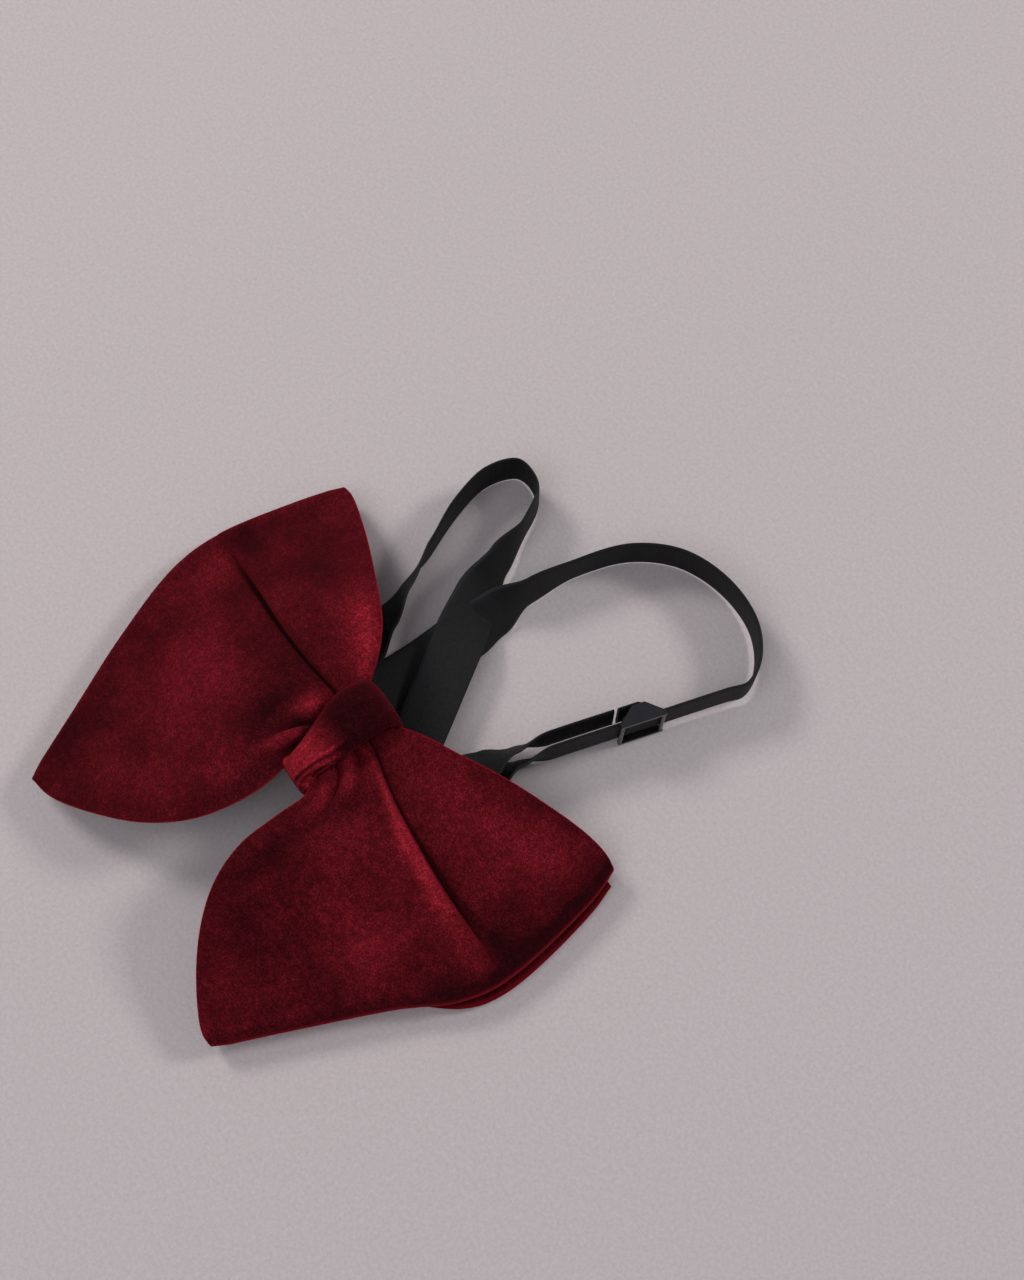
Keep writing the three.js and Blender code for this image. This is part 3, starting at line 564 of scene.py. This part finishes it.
def front_height(side, u, v, plan):
    """Height of the front sheet, without its pressed pleat."""
    z = back_z(u) + soft_table(FRONT_GAP, u)
    z = z + 1.3 * np.sin(math.pi * np.clip(u, 0, 1)) ** 2 * bump(v - 0.35, 0.3)
    z = z + 0.28 * wandering(plan[..., 0], plan[..., 1], 2.1 + side) * smooth(u, 0.05, 0.4)
    z = z + gathers(side, u, v)
    if side == RIGHT:
        return z + 1.5 * smooth(u, 0.6, 0.85) * fading(u, 0.87, 0.955) * smooth(v, 0.35, 0.6)
    return z - 2.2 * fading(u, 0.015, 0.085) * bump(v - 0.5, 0.17)


def front_sheet(side, u, w):
    """The front sheet at share u out and mesh line w.

    The results are its middle, the same without the pressed pleat, how its pile lies together with the
    painted light and shade laid over it, and how much painted shade the pleat's crease gives it.
    """
    pleat = PLEATS[side]
    line = soft_table(pleat["line"], u)
    v = share_up(w, line)
    plan = wing_plan(side, u, v)
    away = np.where(w < LOWER_SHARE, -1, 1) * np.linalg.norm(plan - wing_plan(side, u, line), axis=-1)
    depth, opening, ridge, dark = (soft_table(pleat[key], u) for key in ("depth", "open", "ridge", "dark"))
    dips = away * pleat["sinks"] > 0
    off = np.abs(away)
    shoulder = np.where(dips, 0, (1 - np.exp(-off / 0.9)) * np.exp(-off / 7.0))
    pressed = ridge * shoulder - depth * np.where(dips, np.exp(-off / opening), bump(away, PLEAT_LIP))
    # painted shade in the pleat's crease
    painted_crease_shade = dark * np.where(dips, fading(off, opening * 0.45, opening * 0.95), bump(away, 0.4))
    # painted shade in the hollow beside the knot on the left wing
    if side == LEFT:
        painted_crease_shade = np.maximum(painted_crease_shade, 0.9 * fading(u, 0.03, 0.075) * bump(v - 0.52, 0.14))
    pile_and_light = sum(amount * bump(u - cu, su) * bump(v - cv, sv) for cu, cv, su, sv, amount in PILE_AND_LIGHT_PATCHES[side])
    # painted shade along the dipping panel beside the pleat; below, painted light on the gathers' crests and
    # painted shade in their troughs
    shaded = 0.25 * dark * np.where(dips, np.exp(-off / (1.9 * opening)), 0)
    pile_and_painted_light = PILE_LIGHT_LEVEL + PILE_LIGHT_SWING * pile_and_light - shaded + 0.2 * gathers(side, u, v)
    guide = np.stack([side * plan[..., 0], plan[..., 1], front_height(side, u, v, plan)], axis=-1)
    return guide + pressed[..., None] * UP, guide, pile_and_painted_light, painted_crease_shade


def loop_half(side, rows=120, fold_rows=10, back_rows=24, columns=78):
    """Waist to outer fold on the face, round the fold, and back to the waist behind."""
    w = pleat_columns(columns)
    u = OUTER_U * np.linspace(0, 1, rows)
    front, flat_front, pile_and_painted_light, painted_crease_shade = front_sheet(side, u[:, None] + 0 * w[None], w[None] + 0 * u[:, None])
    v_end = share_up(w, soft_table(PLEATS[side]["line"], 1.0))

    back_u = OUTER_U * np.linspace(1, 0, back_rows)
    drawn_in = 0.5 + (v_end[None] - 0.5) * (1 - 0.09 * fading(back_u, 0.75, OUTER_U))[:, None]
    behind = wing_plan(side, back_u[:, None] + 0 * drawn_in, drawn_in)
    back = np.stack([side * behind[..., 0], behind[..., 1], back_z(back_u)[:, None] + 0 * drawn_in], axis=-1)

    fold_line = wing_plan(side, np.full_like(v_end, OUTER_U), v_end)
    out = unit(wing_plan(side, np.ones_like(v_end), v_end) - fold_line) * (side, 1)
    upper, lower = front[-1], back[0]
    radius = (upper[:, 2] - lower[:, 2]) / 2
    turn = []
    angles = np.linspace(0, math.pi, fold_rows + 2)[1:-1]
    for angle in angles:
        plan = lerp(upper[:, :2], lower[:, :2], (1 - math.cos(angle)) / 2)
        plan = plan + out * (radius * math.sin(angle))[:, None]
        turn.append(np.column_stack([plan, lower[:, 2] + radius * (1 + math.cos(angle))]))

    rest = np.concatenate([np.array(turn), back], axis=0)
    plain = np.zeros((fold_rows + back_rows, len(w)))
    # painted sheen highlight on the underside of the outer fold's turn
    turned = np.concatenate([np.zeros(rows), 0.8 * smooth(angles, 0.9, 1.3), np.zeros(back_rows)])
    return (np.concatenate([front, rest], axis=0), np.concatenate([flat_front, rest], axis=0),
            np.concatenate([pile_and_painted_light, plain + pile_and_painted_light[-1]], axis=0), np.concatenate([painted_crease_shade, plain], axis=0),
            turned[:, None] + 0 * w[None])


def make_loop():
    """The front strip: one piece of cloth from waist to waist round both folds."""
    grid, guide, pile_and_painted_light, painted_crease_shade, turned = (np.concatenate([a[::-1], b], axis=0)
                                        for a, b in zip(loop_half(RIGHT), loop_half(LEFT)))
    rings, painted_sheen_edges = cloth_rings(grid, CLOTH, guide)
    points, faces = loft(rings)
    piece = make_object("front_loop", points, faces, VELVET_LOOK, {
        "painted_sheen_edges": np.maximum(painted_sheen_edges, round_the_sheet(turned)).ravel(), "pile_and_painted_light": round_the_sheet(pile_and_painted_light).ravel(),
        "painted_crease_shade": round_the_sheet(painted_crease_shade).ravel()})
    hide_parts("loop_velvet", "loop_interlining", "loop_join_tape")
    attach(piece, "bow")


TAIL_EDGES = {LEFT: (0.07, 0.95), RIGHT: (0.06, 0.985)}     # shares up the wing
TAIL_OUTER_U = 0.96
TAIL_SHORT = -3.0                     # how far the tails stop inside the wings' outer edges
TAIL_SHOWS = 4.4                      # and how much further one reaches where it shows past its wing


def tail_half(side, rows=60, columns=88):
    t = np.linspace(0, 1, rows)
    low_edge, high_edge = TAIL_EDGES[side]
    between = np.linspace(low_edge + SEAM_LINES, high_edge - SEAM_LINES, columns)
    v = np.concatenate([[low_edge], between, [high_edge]])
    plan = wing_plan(side, TAIL_OUTER_U * t[:, None] + 0 * v[None], v[None] + 0 * t[:, None])
    out = wing_plan(side, np.ones_like(v), v) - wing_plan(side, np.full_like(v, TAIL_OUTER_U), v)
    middle = wing_plan(side, TAIL_OUTER_U * t, np.full_like(t, 0.55))[:, 1]
    plan[..., 1] = middle[:, None] + (plan[..., 1] - middle[:, None]) * lerp(0.92, 1, t)[:, None]
    past = TAIL_SHORT + (TAIL_SHOWS * smooth(v, 0.36, 0.6) if side == RIGHT else 0)
    reach = 1 + past / np.linalg.norm(out, axis=-1)
    plan = plan + out[None] * (t[:, None] ** 3 * reach[None])[..., None]
    z = 0.15 * wandering(plan[..., 0], plan[..., 1], 5.0) * smooth(t, 0.2, 0.8)[:, None] + tail_z(t)[:, None]
    return np.stack([side * plan[..., 0], plan[..., 1], z], axis=-1)


def make_tails():
    """The back strip, whose ends are the second layer behind both wings."""
    rings, painted_sheen_edges = cloth_rings(np.concatenate([tail_half(RIGHT)[::-1], tail_half(LEFT)], axis=0), CLOTH)
    # painted sheen highlight on the tails' turned edges and both ends
    painted_sheen_edges[0] = painted_sheen_edges[-1] = 1
    points, faces = loft(rings)
    piece = make_object("back_tails", points, faces, VELVET_LOOK, {
        "painted_sheen_edges": painted_sheen_edges.ravel(), "pile_and_painted_light": np.full(painted_sheen_edges.size, 0.15), "painted_crease_shade": np.zeros(painted_sheen_edges.size)})
    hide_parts("tails_velvet", "tails_interlining")
    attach(piece, "bow")


# ---- knot ------------------------------------------------------------------------------------------
WRAP_HALF_WIDTH = 7.4                 # behind the knot
FACE_HALF_WIDTHS = (7.7, 4.4)         # on the face, up the knot and at its lower end
FACE_CENTRES = (-2.1, 0.9)
WRAP_CLOTH = 3.2                      # from the outer face to the inner one, wadding and all
SECOND_FOLD = 0.3                     # share of the half width between the two pressed folds


def make_knot():
    """The wrap: a strip round the waist, its long edges turned under, creased where it is drawn tight."""
    mid_y, mid_z = (WRAP_LOW_Y + WRAP_HIGH_Y) / 2, (WRAP_LOW_Z + WRAP_HIGH_Z) / 2
    half_y, half_z = (WRAP_HIGH_Y - WRAP_LOW_Y) / 2, (WRAP_HIGH_Z - WRAP_LOW_Z) / 2
    phi = np.linspace(0, 2 * math.pi, 200, endpoint=False)
    cy = np.sign(np.cos(phi)) * np.abs(np.cos(phi)) ** 0.5
    cz = np.sign(np.sin(phi)) * np.abs(np.sin(phi)) ** 0.6
    face = smooth(np.sin(phi), -0.1, 0.5)           # 0 behind the knot, 1 on its face
    lowness = smooth(-cy, -0.55, 1.0)               # 0 up the knot, 1 at its lower end
    centre = lerp(0, lerp(*FACE_CENTRES, lowness), face)
    half_width = lerp(WRAP_HALF_WIDTH, lerp(*FACE_HALF_WIDTHS, lowness), face)
    begun = face * smooth(-cy, -0.15, 0.35)         # where the folds have begun
    first = lerp(0.66, 0.36, smooth(-cy, 0.2, 1.0))
    second = first + SECOND_FOLD
    outer, inner, knot_painted_light, knot_crease_shade = [], [], [], []
    for share in np.linspace(-1, 1, 72):
        drop = 2.2 * abs(share) ** 4.5 + begun * (1.0 * smooth(share - first, -0.03, 0.06)
                                                  + 0.8 * smooth(share - second, -0.03, 0.06))
        lips = begun * (0.55 * bump(share - first + 0.09, 0.09) + 0.45 * bump(share - second + 0.09, 0.07))
        drag = 0.25 * np.sin(7 * share + 4 * cy) * begun + 0.3 * bump(share + 0.35 - 0.3 * cy, 0.16) * face
        rise = lips + drag - drop
        outer.append(np.stack([
            centre + share * half_width,
            mid_y + cy * (half_y + np.minimum(rise, 0) * 0.75),
            mid_z + cz * (half_z + rise * np.where(cz > 0, 1, 0.3)) - 1.4 * face * lowness * (cz > 0),
        ], axis=-1))
        inner.append(np.stack([centre + share * (half_width - 0.7), mid_y + cy * (half_y - WRAP_CLOTH),
                               mid_z + cz * (half_z - WRAP_CLOTH)], axis=-1))
        # painted light on the knot's lower end and on the lips of its folds, painted shadow up the knot and
        # darker toward one edge
        knot_painted_light.append(0.12 + 0.7 * lips + face * (1.3 * smooth(-cy, -0.1, 0.8) - 0.60 * smooth(cy, -0.2, 0.7)
                                                - 0.3 * smooth(share, 0.55, 0.95)))
        # painted shade in the knot's two pressed creases
        creases = bump(share - first - 0.02, 0.035) + bump(share - second - 0.02, 0.035)
        knot_crease_shade.append(0.75 * begun * creases)
    points, faces = loft(np.array(outer + inner[::-1]), hoop=True)
    blank = np.zeros((len(inner), len(phi)))
    piece = make_object("knot_velvet", points, faces, VELVET_LOOK, {
        "painted_sheen_edges": np.zeros(len(points)), "pile_and_painted_light": np.concatenate([knot_painted_light, blank]).ravel(),
        "painted_crease_shade": np.concatenate([knot_crease_shade, blank]).ravel()})
    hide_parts("knot_wrap", "knot_wadding", "waist_thread")
    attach(piece, "bow")


# ---- neckband --------------------------------------------------------------------------------------
# The same ribbon as the frame's, on the same routes.
BAND_WIDTH, BAND, BAND_Z = 15.0, 1.0, 11.0
FOLD = 1.6                            # radius of the slanting creases behind the knot
RUNNING_GAP = 0.3                     # between a turned end and the bar inside it
END_BAR = 1.6
END_TURN = END_BAR / 2 + RUNNING_GAP + BAND / 2
END_LAP = 8
SEWN = BAND + 0.3                     # pitch of two layers lying on each other
SLIDE_BAR, SLIDE_LENGTH = 1.2, 13
SLIDE_TURN = SLIDE_BAR / 2 + RUNNING_GAP + BAND / 2
RETURN_GAP = SEWN + 2 * SLIDE_TURN
TURNED = -1                           # both ends turn to this side of the ribbon's face
HOOK_STEPS, EYE_STEPS = 336, 260


class Station:
    """A place on a ribbon's middle line: its heading there, its line across and the normal of its face."""

    def __init__(self, point, heading, across, normal):
        self.point, self.heading = np.array(point, float), np.array(heading, float)
        self.across, self.normal = np.array(across, float), np.array(normal, float)

    def moved(self, by):
        return Station(self.point + by, self.heading, self.across, self.normal)


def crease_stations(centre, start, end, steps=16):
    """The flat ribbon turned over and under on a slanting crease."""
    centre, start, end = (np.array(v, float) for v in (centre, start, end))
    normal = unit(start - end)
    crease = np.cross(UP, normal)
    slope = start @ normal
    line = crease / slope * np.sign(crease[1])
    stations = []
    for angle in np.linspace(0, math.pi, steps + 1):
        travelled = crease * (FOLD * angle / slope * (start @ crease))
        point = centre + travelled + normal * FOLD * math.sin(angle)
        point[2] = centre[2] - FOLD * (1 - math.cos(angle))
        stations.append(Station(point, normal * math.cos(angle) - UP * math.sin(angle), line,
                                normal * math.sin(angle) + UP * math.cos(angle)))
    return stations


def route_stations(route, count, flip, face):
    """Stations along a route of (x, y, z, tilt in degrees), a tilt of 90 standing the ribbon on edge."""
    route = np.array(route, float)
    places = np.linspace(0, len(route) - 1, count + 1)
    points = catmull(route[:, :3], count + 1)
    headings = unit(np.gradient(points, axis=0))
    stations = []
    for point, heading, place in zip(points, headings, places):
        i = min(int(place), len(route) - 2)
        tilt = math.radians(lerp(route[i, 3], route[i + 1, 3], float(smooth(place - i, 0, 1))))
        level = np.cross(UP, heading)
        level[2] = 0
        across = (unit(level) * math.cos(tilt) + UP * math.sin(tilt)) * flip
        stations.append(Station(point, heading, across, unit(np.cross(heading, across)) * face))
    return stations


def turned_end(last, radius, side, length, steps=16, extra=8):
    """The ribbon beyond its last station, turned round a bar and laid back over itself."""
    out, face = last.heading, last.normal * side
    centre = last.point + face * radius
    stations = []
    for angle in np.linspace(0, math.pi, steps + 1)[1:]:
        radial = -face * math.cos(angle) + out * math.sin(angle)
        stations.append(Station(centre + radial * radius, face * math.sin(angle) + out * math.cos(angle),
                                last.across, -radial * side))
    end = stations[-1]
    return stations + [end.moved(-out * length * k / extra) for k in range(1, extra + 1)]


def ribbon(name, stations, width=BAND_WIDTH, thickness=BAND, columns=13):
    """A woven strip: rings of a thin rounded section, with its running length kept for the weave."""
    steps = [np.linalg.norm(b.point - a.point) for a, b in zip(stations, stations[1:])]
    run = np.concatenate([[0], np.cumsum(steps)])
    t = np.linspace(-1, 1, columns)
    half = (thickness / 2 * np.sqrt(np.clip(1 - np.abs(t) ** 8, 0.04, 1)))[:, None]
    rings = []
    for at in stations:
        line = at.point + at.across * (t[:, None] * width / 2)
        rings.append(np.concatenate([line + at.normal * half, (line - at.normal * half)[::-1]]))
    points, faces = loft(np.array(rings))
    across = np.tile(np.concatenate([t, t[::-1]]) * width / 2, len(stations))
    along = np.repeat(run, 2 * columns)
    piece = make_object(name, points, faces, RIBBON_LOOK, {"along": along, "across": across})
    return piece, run[-1]


def ahead(start, heading, distance, z):
    """A route's point, straight on from start."""
    point = start + heading * distance
    return (point[0], point[1], z, 0)


long_heading = unit(np.array([-0.55, 0.835, 0]))
long_crease = crease_stations((13, 0, BAND_Z), (1, 0, 0), long_heading)
long_exit = long_crease[-1].point
eye_route = [
    (*long_exit, 0),
    ahead(long_exit, long_heading, 12, long_exit[2] + 0.1),
    ahead(long_exit, long_heading, 27, long_exit[2] + 0.5),
    ahead(long_exit, long_heading, 40, long_exit[2] + 0.8),
    (-17, 50, 8.8, 35), (-23, 62, 8.8, 70), (-27.5, 74, 8.6, 90), (-34, 83, 8.2, 90), (-43, 83, 8, 90),
    (-46.5, 74, 7.8, 90), (-44, 62, 7.6, 90), (-38, 49, 7.6, 86), (-32, 36, 7.2, 68), (-27.5, 25, 6, 45),
    (-24, 15, 3.6, 15), (-22.4, 8.5, 2.6, 0), (-20.8, 2, 2.5, 0),
]
eye_run = route_stations(eye_route, EYE_STEPS, -1, 1)

short_heading = np.array([0, 1.0, 0])
short_crease = crease_stations((-7.4, 0, BAND_Z), (-1, 0, 0), short_heading)
short_exit = short_crease[-1].point
hook_route = [
    (*short_exit, 0),
    ahead(short_exit, short_heading, 6, 7.0),
    ahead(short_exit, short_heading, 14, 5.6),
    ahead(short_exit, short_heading, 24, 4.8),
    (-11.2, 40, 5.0, 10), (-11.5, 52, 6.3, 45), (-11, 64, 7.9, 80), (-9, 79, 8, 90), (-4, 94, 8, 90),
    (6, 105, 8, 90), (20, 110, 8.2, 90), (34, 109, 8.8, 90), (43.5, 103, 9.2, 90), (47.0, 96.2, 9.4, 90),
    (45.3, 90.5, 9.4, 90), (38.3, 66.5, 9.4, 90), (31.3, 42.5, 9.4, 90), (28.5, 32.9, 8.2, 70),
    (26.3, 25.2, 5.4, 38), (24, 17, 3.8, 10), (23, 9, 2.9, 0), (22.2, 2, 2.8, 0),
]
SLIDE_POINT = 15                      # the adjuster's middle is at this point of hook_route
hook_run = route_stations(hook_route, HOOK_STEPS, 1, -1)
slide_index = round(SLIDE_POINT / (len(hook_route) - 1) * HOOK_STEPS)
slide_station = hook_run[slide_index]


def offset(at, distance):
    """The station of a second layer, this far from the ribbon on its turned side."""
    return at.moved(at.normal * TURNED * distance)


def make_neckband():
    """The ribbon from the hook to the eye, turned on two slanting creases behind the knot."""
    stations = turned_end(hook_run[-1], END_TURN, TURNED, END_LAP)[::-1]
    stations += hook_run[1:][::-1] + short_crease[::-1] + long_crease + eye_run[1:]
    stations += turned_end(eye_run[-1], END_TURN, TURNED, END_LAP)
    piece, length = ribbon("neckband_ribbon", stations)
    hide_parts("neckband")
    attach(piece, "bow")


def make_return_run():
    """The second layer, from the hook's lap back to the adjuster."""
    rows, travelled = [], 0.0
    for i in range(len(hook_run) - 1, slide_index, -1):
        from_slide = np.linalg.norm(hook_run[i].point - slide_station.point)
        if travelled > END_LAP + 0.1 and from_slide > SLIDE_LENGTH / 2 - 1.3:
            share = float(smooth(travelled, END_LAP, END_LAP + 30))
            rows.append(offset(hook_run[i], lerp(2 * END_TURN, RETURN_GAP, share)))
        travelled += np.linalg.norm(hook_run[i].point - hook_run[i - 1].point)
    piece, length = ribbon("band_return", rows)
    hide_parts("band_return_run")
    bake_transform(piece)


def make_sewn_end():
    """The ribbon's end, turned round the adjuster's middle bar."""
    start = offset(slide_station, RETURN_GAP)
    start.heading = -start.heading
    lead_in = -start.heading * (SLIDE_LENGTH / 2 - 1.2)
    stations = [start.moved(lead_in), start.moved(lead_in / 2), start]
    stations += turned_end(start, SLIDE_TURN, -TURNED, SLIDE_LENGTH / 2 - 1.6)
    piece, length = ribbon("band_end_round_bar", stations)
    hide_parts("band_sewn_end")
    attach(piece, "adjuster")


KEEPER_X, KEEPER_WIDTH, KEEPER_THICKNESS = 4.6, 5.0, 0.8
KEEPER_CORNER = 0.5
KEEPER_SIDE_GAP, KEEPER_FACE_GAP = 0.3, 0.25


def make_keeper():
    """The loop that holds the band behind the knot."""
    half_y = BAND_WIDTH / 2 + KEEPER_SIDE_GAP + KEEPER_THICKNESS / 2
    half_z = BAND / 2 + KEEPER_FACE_GAP + KEEPER_THICKNESS / 2
    stations = []
    for toward_y, toward_z, start in ((1, 1, 0), (-1, 1, 90), (-1, -1, 180), (1, -1, 270)):
        corner = np.array([KEEPER_X, toward_y * (half_y - KEEPER_CORNER),
                           BAND_Z + toward_z * (half_z - KEEPER_CORNER)])
        for k in range(5):
            angle = math.radians(start + 22.5 * k)
            out = np.array([0, math.cos(angle), math.sin(angle)])
            stations.append(Station(corner + KEEPER_CORNER * out, np.cross([1, 0, 0], out), (1, 0, 0), out))
    piece, _ = ribbon("keeper_loop", stations + stations[:1], KEEPER_WIDTH, KEEPER_THICKNESS, 7)
    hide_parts("band_keeper")
    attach(piece, "bow")


TACK_HALF_LENGTH, TACK_HALF_WIDTH, TACK_TURNS = 4.8, 0.38, 26
TACK_IN = 2.2                         # from the cut end of the lap to the tack
THREAD_RADIUS, THREAD_PROUD = 0.16, 0.12


def make_tack(name, node, at):
    """A zigzag bar tack through both layers of a turned end."""
    along, across, lift = at.heading, at.across, at.normal * TURNED
    centre = at.point - along * (END_LAP - TACK_IN) + lift * END_TURN
    depth = END_TURN + BAND / 2 + THREAD_PROUD
    path = []
    for k in range(TACK_TURNS + 1):
        back = 1 if k % 2 else -1
        y = lerp(-TACK_HALF_LENGTH, TACK_HALF_LENGTH, k / TACK_TURNS)
        for z in (back * depth, -back * depth):
            path.append(centre + along * back * TACK_HALF_WIDTH + across * y + lift * z)
    side = unit(along + across * 0.3)
    rings = []
    for i, point in enumerate(path):
        run = unit(path[min(i + 1, len(path) - 1)] - path[max(i - 1, 0)])
        a = unit(np.cross(run, side) + 1e-6)
        b = np.cross(run, a)
        rings.append([point + THREAD_RADIUS * (a * math.cos(t) + b * math.sin(t))
                      for t in np.linspace(0, 2 * math.pi, 7)[:-1]])
    points, faces = loft(np.array(rings))
    piece = make_object(name, points, faces, THREAD_LOOK)
    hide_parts(node)
    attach(piece, "bow")


def dress_metal():
    """The metal parts keep their own shapes."""
    for node in ("adjuster_slide", "hook", "eye_loop"):
        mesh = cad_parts[node].data
        mesh.materials.clear()
        mesh.materials.append(METAL_LOOK)


# ---- floor and light -------------------------------------------------------------------------------
FLOOR_REACH = 12.0                    # metres, far enough that a low view has no near edge
WORLD_COLOUR, WORLD_STRENGTH = (0.9, 0.9, 0.95, 1), 0.28

# Name, direction as right, away and up in the view, distance and size in metres, power, colour.
PANELS = [
    ("key_panel", (-0.75, 0.65, 1.0), 1.3, 0.35, 6.5, (1.0, 0.97, 0.93)),
    ("far_panel", (1.0, 0.3, 0.85), 1.5, 0.3, 8, (1.0, 0.98, 0.96)),
    ("top_panel", (-0.5, -0.5, 1.5), 1.6, 1.0, 7, (0.96, 0.97, 1.0)),
]


def make_floor():
    mesh = bpy.data.meshes.new("floor")
    corners = [(x * FLOOR_REACH, y * FLOOR_REACH, 0) for x, y in ((-1, -1), (1, -1), (1, 1), (-1, 1))]
    mesh.from_pydata(corners, [], [(0, 1, 2, 3)])
    mesh.materials.append(floor_card())
    floor = bpy.data.objects.new("floor", mesh)
    bpy.context.scene.collection.objects.link(floor)


def area_light(name, direction, distance, size, power, colour):
    """A soft panel aimed at the bow."""
    light = bpy.data.lights.new(name, "AREA")
    light.shape = "SQUARE"
    light.size = size
    light.energy = power
    light.color = colour
    place = VIEW_RIGHT * direction[0] + VIEW_AWAY * direction[1] + Vector(UP) * direction[2]
    place = place.normalized() * distance
    thing = bpy.data.objects.new(name, light)
    thing.location = place
    thing.rotation_euler = (-place).to_track_quat("-Z", "Y").to_euler()
    bpy.context.scene.collection.objects.link(thing)


def make_world():
    world = bpy.data.worlds.new("studio")
    world.use_nodes = True
    background = world.node_tree.nodes["Background"]
    background.inputs["Color"].default_value = WORLD_COLOUR
    background.inputs["Strength"].default_value = WORLD_STRENGTH
    bpy.context.scene.world = world
    bpy.context.scene.view_settings.view_transform = "Standard"


make_camera()
make_neckband()
make_return_run()
make_sewn_end()
make_keeper()
make_tack("hook_tack_stitches", "hook_end_tack", hook_run[-1])
make_tack("eye_tack_stitches", "eye_end_tack", eye_run[-1])
make_tails()
make_loop()
make_knot()
dress_metal()
make_floor()
for panel in PANELS:
    area_light(*panel)
make_world()
